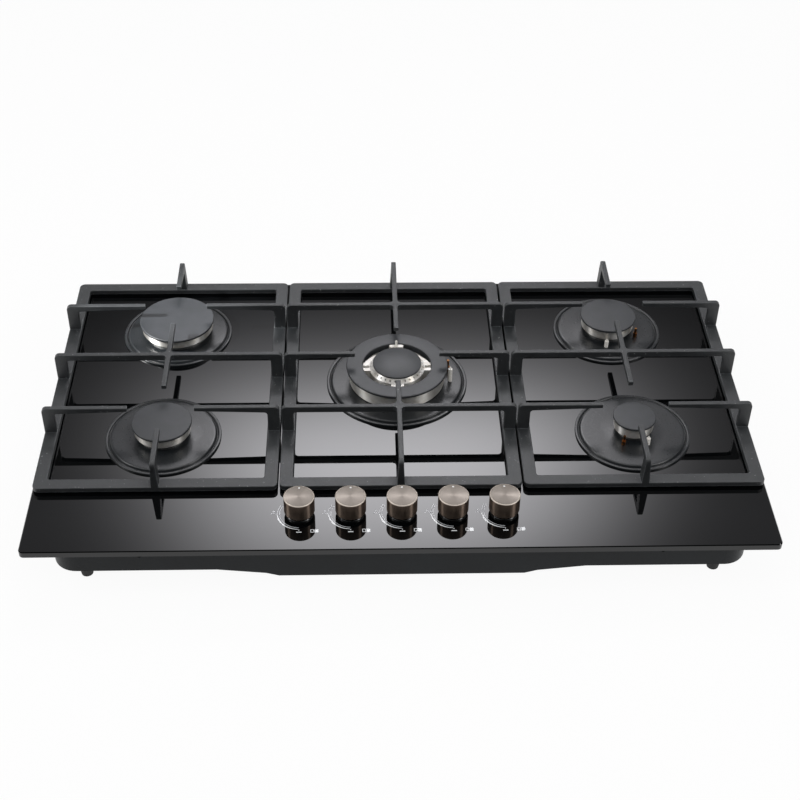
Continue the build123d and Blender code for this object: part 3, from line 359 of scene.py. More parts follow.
def cast_iron(look):
    """Sand-cast iron under matt enamel: fine grain, a painted highlight along its edges and pale
    specks.
    """
    material, tree, shader = surface("cast_iron_matt_enamel", look.iron, look.iron_roughness,
                                     IOR=1.5, Specular_IOR_Level=0.85)
    worn = blotched(tree, lumps(tree, 22, 4), look.iron, linear("26292b"))
    # Painted highlight: the edges turn lighter, broken up in patches, where rounded edges would
    # catch the light.
    patches = put(tree, "ShaderNodeMapRange", [lumps(tree, 6, 3), *NOISE_SPAN, 0.35, 1.0])
    edge_highlight_mask = put(tree, "ShaderNodeMath", [edges_of(tree, 1.3), patches.outputs[0]],
                 operation="MULTIPLY")
    edge_highlighted = put(tree, "ShaderNodeMix", {0: edge_highlight_mask.outputs[0], 6: worn, 7: linear("6b7073")},
                data_type="RGBA").outputs[2]
    tint(tree, shader, lumps(tree, 2.6, 1), edge_highlighted, linear("9a9c9c"), (0.74, 0.78), 0.6)
    grain = lumps(tree, 1.1, 3)
    roughen(tree, shader, grain, look.iron_roughness - 0.07, look.iron_roughness + 0.1)
    emboss(tree, shader, grain, 0.09)
    return material


def coated(name, tone, second, patch_mm, peel_mm, rough, depth_mm, **more):
    """Enamel or baked paint: tone changes patch_mm wide under an orange peel peel_mm wide.

    `rough` is the middle, lowest and highest roughness.
    """
    material, tree, shader = surface(name, tone, rough[0], **more)
    tint(tree, shader, lumps(tree, patch_mm, 3), tone, linear(second))
    peel = lumps(tree, peel_mm, 2)
    roughen(tree, shader, peel, *rough[1:])
    emboss(tree, shader, peel, depth_mm)
    return material


def cap_enamel(look):
    """Matt vitreous enamel, fired on pressed steel: very fine orange peel, soft sheen."""
    return coated("burner_cap_matt_enamel", look.cap, "2f3135", 14, 0.7, (0.46, 0.42, 0.5), 0.012,
                  IOR=1.5, Specular_IOR_Level=0.68)


def ring_enamel(look):
    """Semi-gloss enamel on the pressed drip rings: soft long highlights, faint tone changes."""
    return coated("drip_ring_satin_enamel", look.ring, "1c1f22", 26, 2.2, (0.3, 0.27, 0.34), 0.004,
                  IOR=1.52, Specular_IOR_Level=0.58)


def satin_paint(look):
    """Baked satin paint on pressed steel sheet: low sheen with a light orange peel."""
    return coated("steel_sheet_satin_paint", look.housing, "15191c", 60, 1.8, (0.38, 0.33, 0.46),
                  0.03, IOR=1.5, Specular_IOR_Level=0.2)


def machined_aluminium(look):
    """Machined aluminium: fine tool lines run level round it and draw each highlight upright.

    The tangent is up x normal, so it lies level on every wall, with a little added so that it
    has a length on level faces too.
    """
    material, tree, shader = surface("aluminium_machined_crown", look.aluminium, 0.43, 0.88,
                                     Anisotropic=0.95, Anisotropic_Rotation=QUARTER_TURN)
    normal = put(tree, "ShaderNodeNewGeometry").outputs["Normal"]
    level = put(tree, "ShaderNodeVectorMath", [(0, 0, 1), normal], operation="CROSS_PRODUCT")
    level = put(tree, "ShaderNodeVectorMath", [level.outputs[0], (0.0005, 0, 0)])
    level = put(tree, "ShaderNodeVectorMath", [level.outputs[0]], operation="NORMALIZE")
    tree.links.new(level.outputs[0], shader.inputs["Tangent"])
    tint(tree, shader, lumps(tree, 9, 3), look.aluminium, linear("cfc9bf"), (0.4, 0.75))
    emboss(tree, shader, lumps(tree, 0.9, 2, (4, 4, 0.6)), 0.02)
    return material


def cast_aluminium(name, tone, roughness):
    """Aluminium as cast: even grey with a light grain."""
    material, tree, shader = surface(name, linear(tone), roughness, 1.0)
    grain = lumps(tree, 1.2, 3)
    tint(tree, shader, grain, linear("8f908f"), linear(tone))
    emboss(tree, shader, grain, 0.05)
    return material


def plated_steel(name, tone, roughness, grain_mm):
    """Zinc-plated steel, spring wire or drawn tube: grey metal with a fine drawn grain."""
    material, tree, shader = surface(name, linear(tone), roughness, 1.0)
    grain = lumps(tree, grain_mm, 3)
    roughen(tree, shader, grain, roughness - 0.06, roughness + 0.08)
    emboss(tree, shader, grain, 0.02)
    return material


def yellow_metal(name, tone, heated):
    """Brass or copper, browned in patches by heat."""
    material, tree, shader = surface(name, linear(tone), 0.3, 1.0)
    tint(tree, shader, lumps(tree, 3.5, 3), linear(tone), linear(heated), (0.35, 0.65))
    emboss(tree, shader, lumps(tree, 0.8, 2), 0.02)
    return material


def fired_ceramic():
    """White alumina, fired and part glazed: a slight sheen and warm specks."""
    material, tree, shader = surface("ceramic_fired_white", linear("eceae4"), 0.35, IOR=1.6)
    tint(tree, shader, lumps(tree, 1.6, 3), linear("f1efea"), linear("d2cabc"), (0.45, 0.75))
    emboss(tree, shader, lumps(tree, 0.5, 2), 0.01)
    return material


def moulded(name, tone, roughness, grain_mm, depth_mm):
    """Moulded rubber, foam or plastic with the grain of its mould."""
    material, tree, shader = surface(name, linear(tone), roughness, IOR=1.5)
    grain = lumps(tree, grain_mm, 3)
    roughen(tree, shader, grain, roughness - 0.06, roughness + 0.06)
    emboss(tree, shader, grain, depth_mm)
    return material


def lathed(name, tone, second, spacing_mm, roughness, metallic=1.0, anisotropic=0.0):
    """Turned metal with tool lines spacing_mm apart, drawn coarse enough to show.

    Where it is anisotropic, they draw each highlight out across them.
    """
    if anisotropic:
        material, tree, shader = surface(name, tone, roughness, metallic, Anisotropic=anisotropic,
                                         Anisotropic_Rotation=QUARTER_TURN)
        tangent = put(tree, "ShaderNodeTangent", direction_type="UV_MAP", uv_map="turned")
        tree.links.new(tangent.outputs[0], shader.inputs["Tangent"])
    else:
        material, tree, shader = surface(name, tone, roughness, metallic)
    tint(tree, shader, lathe_lines(tree, spacing_mm), linear(second), tone)
    return material


def spun_top(look):
    """Metal spun-brushed in circles: a highlight that fans out from the middle."""
    return lathed("knob_top_spun_metal", look.knob_top, "69635d", 0.35, 0.32, anisotropic=0.95)


def black_chrome(look):
    """Dark bronze-black chrome over turned metal: dark, with warm upright streaks."""
    return lathed("knob_side_black_chrome", look.knob_side, "796a5f", 0.5, 0.34, anisotropic=1.0)


def cut_rim(look):
    """Edge of the knob's top, cut after plating: pale, part matt metal."""
    return lathed("knob_rim_cut_metal", look.knob_rim, "c9bdb0", 0.3, 0.5, metallic=0.45)


def screen_print(name, tone, second):
    """Ceramic ink printed on glass: flat and pale, slightly uneven."""
    material, tree, shader = surface(name, tone, 0.16)
    tint(tree, shader, lumps(tree, 1.5, 2), linear(second), tone)
    return material


# ------------------------------------------------------------------ pieces
class COOKTOP_OT_panel(bpy.types.Operator):
    """Glass panel, its seal, the housing and its feet and screws"""
    bl_idname = "cooktop.panel"
    bl_label = "Dress panel and housing"

    def execute(self, context):
        look = finish_of(context)
        dress(["glass_top"], polished_glass(look))
        dress(["bottom_housing"], satin_paint(look))
        dress(["panel_seal"], moulded("foam_closed_cell", "101112", 0.9, 0.9, 0.15))
        dress(["housing_feet"], moulded("rubber_moulded_feet", "101011", 0.7, 0.8, 0.04))
        dress(["fixing_screws"], plated_steel("steel_zinc_plated_screws", "a7a9a8", 0.35, 0.6))
        return {"FINISHED"}


class COOKTOP_OT_supports(bpy.types.Operator):
    """Cast-iron pan supports and their rubber pads"""
    bl_idname = "cooktop.supports"
    bl_label = "Dress pan supports"

    def execute(self, context):
        look = finish_of(context)
        sides = ("left", "centre", "right")
        iron = cast_iron(look)
        dress([f"pan_support_{s}" for s in sides], iron)
        for side, places in self.crossings().items():
            vertices, faces, _ = joined([self.web(place) for place in places])
            new_piece(f"crossing_web_{side}", vertices, faces, f"support_{side}",
                      [iron])
        dress([f"support_feet_{s}" for s in sides],
              moulded("rubber_moulded_pads", "141516", 0.65, 0.8, 0.04))
        return {"FINISHED"}

    @staticmethod
    def crossings():
        """Plan places where two bars cross, for each pan support."""
        pitch, shift = 103.0 * MM, 1.5 * MM
        places = {}
        for side, rows in (("left", (0,)), ("centre", (-1, 1)), ("right", (0,))):
            low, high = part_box(f"pan_support_{side}")
            middle_y = (low.y + high.y) / 2 + shift
            places[side] = [((low.x + high.x) / 2, middle_y + row * pitch) for row in rows]
        return places

    @staticmethod
    def web(place):
        """Four-cornered star: each inside corner is a quarter circle of radius f about (c, c).

        With half bar h and c = h + f, the corner's points are c - f (cos a, sin a), a in 0..90.
        """
        half, fillet, depth, sunk = 3.1 * MM, 3.6 * MM, 5.4 * MM, 0.03 * MM
        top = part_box("pan_support_left")[1].z - sunk
        c = half + fillet
        a = np.radians(np.linspace(90, 0, 8))
        corner = np.column_stack([c - fillet * np.cos(a), c - fillet * np.sin(a)])
        turns = [(corner, 1, 1), (corner[::-1], -1, 1), (corner, -1, -1), (corner[::-1], 1, -1)]
        outline = np.concatenate([pts * (sx, sy) for pts, sx, sy in turns]) + place
        count = len(outline)
        low = np.column_stack([outline, np.full(count, top - depth)])
        high = np.column_stack([outline, np.full(count, top)])
        hub = np.array([[*place, top - depth], [*place, top]])
        index = np.arange(count)
        ahead = np.roll(index, -1)
        walls = np.column_stack([index, ahead, ahead + count, index + count])
        pair = index[::2]
        lids = [np.column_stack([pair + k * count, pair + 1 + k * count,
                                 (pair + 2) % count + k * count,
                                 np.full(count // 2, 2 * count + k)]) for k in (0, 1)]
        return np.concatenate([low, high, hub]), np.concatenate([walls] + lids)


class COOKTOP_OT_caps(bpy.types.Operator):
    """Burner caps, turned from a profile with a rounded rim and a rib underneath"""
    bl_idname = "cooktop.caps"
    bl_label = "Make burner caps"
    steel = 3.0 * MM
    rib_wall = 2.0 * MM

    def execute(self, context):
        enamel = cap_enamel(finish_of(context))
        rim = sizes_of(context).rim_round
        for burner in SIDE_BURNERS:
            node = f"burner_cap_{burner}"
            centre, radius, low, top = middle(node)
            shape = turned(self.flat(radius, low, top, rim), centre)
            piece = self.cap(f"cap_{burner}", f"cap_{burner}", enamel, shape)
            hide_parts(node)
        centre, radius, low, top = middle("burner_cap_centre_outer")
        shape = turned(self.ring(radius, low, top, rim), centre, 192)
        piece = self.cap("cap_centre_ring", "cap_centre_outer", enamel, shape)
        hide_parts("burner_cap_centre_outer")
        # Dark walls under the hole: a guessed skirt, partly painted shade over the crown wall seen
        # there.
        vertices, faces, _ = joined(self.skirt_lips_and_shade(centre, top))
        new_piece("cap_centre_lip_shade", vertices, faces, "cap_centre_outer", [enamel])
        centre, radius, low, top = middle("burner_cap_centre_inner")
        shape = turned(self.dome(radius, low, top), centre)
        piece = self.cap("cap_centre_dome", "cap_centre_inner", enamel, shape)
        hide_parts("burner_cap_centre_inner")
        return {"FINISHED"}

    @staticmethod
    def cap(name, body, enamel, shape):
        """Enamelled cap from the vertices, faces and UV corners of a turned shape."""
        vertices, faces, uv = shape
        return new_piece(name, vertices, faces, body, [enamel], uv)

    def flat(self, radius, low, top, rim):
        """Side burner's cap, flat on top."""
        under, rib = top - self.steel, radius - 6.8 * MM
        inside = rib - self.rib_wall
        return softened([(0, under), (inside, under), (inside, low), (rib, low), (rib, under),
                         (radius, under), (radius, top), (0, top)],
                        [0, 0, 0, 0, 0, rim * 0.6, rim * 2.0, 0], 7)

    def ring(self, radius, low, top, rim):
        """Centre burner's ring cap."""
        under, hole, rib = top - self.steel, 43 * MM, 47.6 * MM
        outside = rib + self.rib_wall
        return softened([(hole, under), (rib, under), (rib, low), (outside, low),
                         (outside, under), (radius, under), (radius, top), (hole, top)],
                        [rim * 0.6, 0, 0, 0, 0, rim * 0.6, rim * 2.0, rim * 2.0], 7)

    @staticmethod
    def skirt_lips_and_shade(centre, top):
        """Four dark enamel walls under the ring cap's hole, between the crown's bridges: a guessed
        skirt that also stands as painted shade, hiding the lit crown wall there.
        """
        radius, wall, upper, lower = 43.5 * MM, 0.8 * MM, 2.9 * MM, 9.0 * MM
        for quarter in range(4):
            turn = np.radians(np.linspace(12.5, 77.5, 36) + 90 * quarter)
            path = np.array(centre) + radius * np.column_stack([np.cos(turn), np.sin(turn)])
            yield carried(path, wall, top - lower, top - upper)

    def dome(self, radius, low, top):
        """Inner cap: at a share s of its radius the top is rise (1 - s^2.4) over its edge."""
        under, edge, rise, rib = low + self.steel, top - 0.9 * MM, 3.3 * MM, 25.2 * MM
        inside = rib - self.rib_wall
        start = [(0, under), (inside, under), (inside, low), (rib, low), (rib, under),
                 (radius - 0.5 * MM, under), (radius, under + 0.45 * MM),
                 (radius, edge - 0.1 * MM)]
        s = np.linspace(1, 0, 28)[1:] ** 0.8
        domed = np.column_stack([radius * s, edge + rise * (1 - s ** 2.4)])
        return np.concatenate([start, domed])


class COOKTOP_OT_burners(bpy.types.Operator):
    """Aluminium crowns and cups, jets, electrodes and flame probes"""
    bl_idname = "cooktop.burners"
    bl_label = "Dress burners"

    def execute(self, context):
        look = finish_of(context)
        dress([f"burner_crown_{b}" for b in ALL_BURNERS], machined_aluminium(look))
        dress([f"burner_cup_{b}" for b in ALL_BURNERS],
              cast_aluminium("aluminium_die_cast_cup", "a3a3a1", 0.45))
        dress(["injectors"], yellow_metal("brass_machined_jets", "c9a050", "9a7434"))
        dress(["ignition_electrodes"], fired_ceramic())
        dress(["thermocouples"], yellow_metal("copper_drawn_probes", "a06c3e", "4c3828"))
        return {"FINISHED"}


class COOKTOP_OT_drip_rings(bpy.types.Operator):
    """Drip rings: a rolled rim, a narrow groove and a plate that reaches the burner cup"""
    bl_idname = "cooktop.drip_rings"
    bl_label = "Make drip rings"

    def execute(self, context):
        enamel = ring_enamel(finish_of(context))
        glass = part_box("glass_top")[1].z
        side_radius = 70.3 * MM
        parts = []
        for burner in SIDE_BURNERS:
            centre, cap, _, _ = middle(f"burner_cap_{burner}")
            parts.append(self.ring(centre, side_radius, cap, glass))
        vertices, faces, uv = joined(parts)
        piece = new_piece("drip_rings_pressed", vertices, faces, "root",
                          [enamel], uv)
        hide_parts("drip_rings")
        centre, radius, _, _ = middle("drip_ring_centre")
        cap = middle("burner_cap_centre_outer")[1]
        vertices, faces, uv = self.ring(centre, radius, cap, glass)
        piece = new_piece("drip_ring_pressed_centre", vertices, faces, "root",
                          [enamel], uv)
        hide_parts("drip_ring_centre")
        return {"FINISHED"}

    @staticmethod
    def ring(centre, radius, cap, glass):
        """Profile turned about the burner: rim, groove, plate and the edge under the cup's lip."""
        steel, foot, off_glass = 1.0 * MM, 0.9 * MM, 0.02 * MM
        r = np.array([radius, radius, radius - 3.4 * MM, radius - 4.4 * MM, radius - 5.0 * MM,
                      radius - 6.6 * MM, radius - 9 * MM, cap + 9 * MM, cap - 6.5 * MM,
                      cap - 7.6 * MM])
        z = np.array([0.0, 2.6, 2.6, 1.0, 1.0, 3.9, 4.1, 4.5, 5.4, 5.4]) * MM
        cut = np.array([0.0, 1.3, 1.0, 0.4, 0.4, 1.2, 1.0, 5.0, 1.0, 0.0]) * MM
        upper = softened(np.column_stack([r, z + glass]), cut, 7)
        r_low = np.append(r[:0:-1], r[0] - foot)
        z_low = np.append(np.maximum(z[:0:-1] - steel, off_glass), 0.0)
        lower = np.column_stack([r_low, z_low + glass])
        return turned(np.concatenate([upper, lower]), centre, 192)


class COOKTOP_OT_knobs(bpy.types.Operator):
    """Knobs with a spun top and a black-chrome side, their white dots and the bezels below"""
    bl_idname = "cooktop.knobs"
    bl_label = "Make knobs"
    sunk = 0.1 * MM  # the spun face lies this far under the rim
    rim = 1.1 * MM  # width of the cut rim, seen from above
    face = 0.8 * MM  # what lies this far under the top has the rim's or the face's finish
    dot_out = 13.4 * MM  # from the knob's axis back to its dot

    def execute(self, context):
        look, size = finish_of(context), sizes_of(context)
        metals = [black_chrome(look), spun_top(look), cut_rim(look)]
        dot_paint = moulded("index_dot_white_paint", "f2f2f0", 0.4, 0.5, 0.005)
        dress(["knob_bezels"], moulded("bezel_black_plastic", "0b0c0d", 0.2, 0.9, 0.01))
        for number in KNOBS:
            node = f"knob_{number}"
            centre, radius, low, top = middle(node)
            vertices, faces, uv = turned(self.shell(radius, low, top), centre, 160)
            mid = vertices[faces].mean(1)
            reach = np.hypot(*(mid[:, :2] - centre).T)
            on_rim = np.where(reach > radius - self.rim, 2, 1)
            metal_rows = np.where(mid[:, 2] > top - self.face, on_rim, 0)
            piece = new_piece(f"knob_shell_{number}", vertices, faces, f"knob_{number}",
                              metals, uv, metal_rows)
            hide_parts(node)
            vertices, faces, uv = turned(self.dot(size.dot_radius, top),
                                         (centre[0], centre[1] + self.dot_out), 24)
            new_piece(f"knob_dot_{number}", vertices, faces, f"knob_{number}",
                      [dot_paint], uv)
        return {"FINISHED"}

    def shell(self, radius, low, top):
        """Hollow knob with its hub and bore, a cut rim and a top face just under the rim."""
        inner, under = radius - 2 * MM, top - 3 * MM
        hub, bore, bore_end = 7 * MM, 4.05 * MM, top - 3.2 * MM
        return softened(
            [(0, bore_end), (bore, bore_end), (bore, low), (hub, low), (hub, under),
             (inner, under), (inner, low), (radius, low), (radius, top - 0.75 * MM),
             (radius - 0.9 * MM, top), (radius - 1.2 * MM, top - self.sunk),
             (0, top - self.sunk)],
            [0, 0, 0, 0, 0, 0, 0, 0.3 * MM, 0.12 * MM, 0.15 * MM, 0, 0], 4)

    def dot(self, radius, top):
        """Drop of paint with a rounded edge."""
        return softened([(0, top - self.sunk), (radius, top - self.sunk),
                         (radius, top + 0.12 * MM), (0, top + 0.16 * MM)],
                        [0, 0, 0.08 * MM, 0], 4)


class COOKTOP_OT_dial_marks(bpy.types.Operator):
    """Printed flame marks round the knobs: a tapering arc, two flames and a burner sign"""
    bl_idname = "cooktop.dial_marks"
    bl_label = "Print dial marks"

    def execute(self, context):
        look, size = finish_of(context), sizes_of(context)
        inks = [screen_print("screen_print_white", look.print_white, "dfe3e6"),
                screen_print("screen_print_grey", linear("b9bcc0"), "adb0b4")]
        sunk = 0.01 * MM
        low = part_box("glass_top")[1].z - sunk
        high = low + size.print_height
        for name, ink, strokes in (("dial_marks", inks[0], self.bold(size.dial_radius)),
                                   ("dial_lines", inks[1], self.fine(size.dial_radius))):
            parts = [carried(np.array(middle(f"knob_{number}")[0]) + path, width, low, high)
                     for number in KNOBS for path, width in strokes]
            vertices, faces, _ = joined(parts)
            new_piece(name, vertices, faces, "root", [ink])
        return {"FINISHED"}

    @staticmethod
    def arc(r, start, end, steps=40):
        """Arc about a knob's axis: r (cos a, sin a)."""
        a = np.radians(np.linspace(start, end, steps))
        return np.column_stack([r * np.cos(a), r * np.sin(a)])

    @staticmethod
    def bar(x0, x1, y):
        """Level line from x0 to x1, in mm from a knob's axis."""
        return np.array([[x0, y], [x1, y]]) * MM

    @staticmethod
    def flame(x, y, height):
        """Teardrop: at the share t of its height its width goes as sin(pi (1 - t)^0.6)."""
        t = np.linspace(0, 1, 12)
        path = np.column_stack([np.full(12, x), y + height * (t - 0.35)]) * MM
        return path, np.maximum(0.62 * height * MM * np.sin(np.pi * (1 - t) ** 0.6), 0.0001)

    def fine(self, radius):
        """Thin strokes as (path, widths): two thin arcs and the large flame with its line."""
        return [(self.arc(radius - 2.6 * MM, 145, 269), 0.8 * MM),
                (self.arc(radius, 148, 183, 20), 0.8 * MM),
                self.flame(-29.6, 2.6, 3.6), (self.bar(-33, -26.6, 0.0), 1.0 * MM)]

    def bold(self, radius):
        """Thick strokes as (path, widths): tapering arc, small flame and the two squares."""
        taper = np.interp(np.linspace(0, 1, 40), [0, 0.25, 0.6, 1], [0.8, 1.9, 1.5, 0.5]) * MM
        x, y, w = 13.0, -30.3, 4.2
        sides = [np.array([[at, y], [at, y + w]]) * MM for at in (x + 0.4, x + w - 0.4)]
        return [(self.arc(radius, 182, 268), taper), self.flame(-0.2, -27.2, 1.8),
                (self.bar(-3.2, 2.9, -30), 1.3 * MM), (self.bar(x, x + w, y), 0.8 * MM),
                (self.bar(x, x + w, y + w), 0.8 * MM), (sides[0], 0.8 * MM), (sides[1], 0.8 * MM),
                (self.bar(x + w + 0.6, x + 2 * w + 0.6, y + w / 2), (w + 0.8) * MM)]


class COOKTOP_OT_candle(bpy.types.Operator):
    """Centre burner: ceramic candle on its bar, and the curved walls beside the side bridges"""
    bl_idname = "cooktop.candle"
    bl_label = "Make centre candle"
    reach = 39.0 * MM  # from the burner's axis back to the bar and the candle

    def execute(self, context):
        metal = machined_aluminium(finish_of(context))
        centre = np.array(middle("burner_crown_centre")[0])
        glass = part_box("glass_top")[1].z
        vertices, faces, _ = joined([self.bar(centre, glass)]
                                    + [self.wall(centre, glass, side) for side in (-1, 1)])
        new_piece("crown_centre_guides", vertices, faces, "crown_centre",
                  [metal])
        profile = self.stem(sizes_of(context).candle_radius, glass + 27.0 * MM)
        vertices, faces, uv = turned(profile, (centre[0], centre[1] + self.reach), 32)
        new_piece("centre_candle", vertices, faces, "crown_centre",
                  [fired_ceramic()], uv)
        return {"FINISHED"}

    def bar(self, centre, glass):
        """Bar that carries the candle, with rounded ends."""
        half, straight, width, least = 9.2 * MM, 6.6 * MM, 4.9 * MM, 0.02 * MM
        x = np.linspace(-half, half, 25)
        ends = np.clip((np.abs(x) - straight) / (half - straight + 0.01 * MM), 0, 1)
        path = centre + np.column_stack([x, np.full(25, self.reach)])
        return carried(path, width * np.sqrt(1 - ends ** 2) + least, glass + 23.9 * MM,
                       glass + 27.2 * MM)

    @staticmethod
    def stem(radius, base):
        """Candle with a wider foot and a domed end."""
        return softened([(0, base - 1.0 * MM), (radius * 1.5, base - 1.0 * MM),
                         (radius * 1.5, base + 0.9 * MM), (radius, base + 1.3 * MM),
                         (radius, base + 8.2 * MM), (0, base + 9.0 * MM)],
                        [0, 0, 0.2 * MM, 0.2 * MM, 0.5 * MM, 0], 4)

    @staticmethod
    def wall(centre, glass, side):
        """Crescent against the inner crown: outer radius 35.6 + 7.1 t^1.4 mm, t over its arc."""
        t = np.linspace(0, 1, 30)
        outer = 35.6 + 7.1 * t ** 1.4
        inner = np.full(30, 34.6)
        turn = np.radians(49 - 41 * t)
        middle_line = (outer + inner) / 2 * MM
        path = np.column_stack([side * middle_line * np.cos(turn), middle_line * np.sin(turn)])
        return carried(centre + path, (outer - inner) * MM, glass + 17 * MM, glass + 24.1 * MM)


class COOKTOP_OT_works(bpy.types.Operator):
    """What is under the glass: taps, spindles, springs, rail, tubes, switches and ignition"""
    bl_idname = "cooktop.works"
    bl_label = "Dress the works"

    def execute(self, context):
        dress(["tap_bodies", "tap_covers"],
              cast_aluminium("aluminium_die_cast_tap", "9c9d9b", 0.5))
        dress([f"tap_plug_{n}" for n in KNOBS],
              yellow_metal("brass_turned_plugs", "c4a055", "a07a3c"))
        dress([f"spindle_{n}" for n in KNOBS],
              plated_steel("steel_zinc_plated_spindles", "a9aaa8", 0.32, 0.5))
        wire = plated_steel("spring_steel_wire", "7f8182", 0.3, 0.4)
        for n in KNOBS:
            vertices, faces, start, end = self.coil(n)
            piece = new_piece(f"press_spring_{n}", vertices, faces, None, [wire])
            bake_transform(piece)
            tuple(start)
            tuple(end)
            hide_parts(f"return_spring_{n}")
        dress(["gas_rail"], plated_steel("steel_zinc_plated_rail", "9fa09c", 0.36, 0.9))
        dress(["feed_tubes"], plated_steel("aluminium_drawn_tube", "b9bab8", 0.34, 0.7))
        dress(["spark_generator", "battery_box"],
              moulded("polyamide_black_moulded", "17181a", 0.5, 0.6, 0.03))
        dress(["ignition_switches"], moulded("polyamide_grey_moulded", "3b3d40", 0.5, 0.6, 0.03))
        return {"FINISHED"}

    @staticmethod
    def coil(number, turns=3, wire=0.4 * MM, sides=12):
        """Spring of round wire under its knob, and the ends of its axis.

        Point (i, j) is c_i + wire (r_i cos b_j + q_i sin b_j): c_i is on the helix, r_i points
        outwards and q_i = r_i x t_i, with t_i the helix's tangent.
        """
        low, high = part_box(f"return_spring_{number}")
        x, y = middle(f"knob_{number}")[0]
        radius = (high.x - low.x) / 2 - wire
        start, end = (x, y, low.z + wire), (x, y, high.z - wire)
        height = end[2] - start[2]
        share = np.linspace(0, 1, 36 * turns + 1)
        a = 2 * np.pi * turns * share
        out = np.column_stack([np.cos(a), np.sin(a), np.zeros_like(a)])
        slope = height / (2 * np.pi * turns * radius)
        tangent = np.column_stack([-np.sin(a), np.cos(a), np.full_like(a, slope)])
        tangent /= np.linalg.norm(tangent, axis=1)[:, None]
        centre = np.array(start) + radius * out
        centre[:, 2] += height * share
        b = 2 * np.pi * np.arange(sides)[None, :, None] / sides
        side = np.cross(out, tangent)
        tube = centre[:, None] + wire * (out[:, None] * np.cos(b) + side[:, None] * np.sin(b))
        faces, loops = sleeve(len(a), sides)
        return tube.reshape(-1, 3), faces.tolist() + loops[[0, -1]].tolist(), start, end


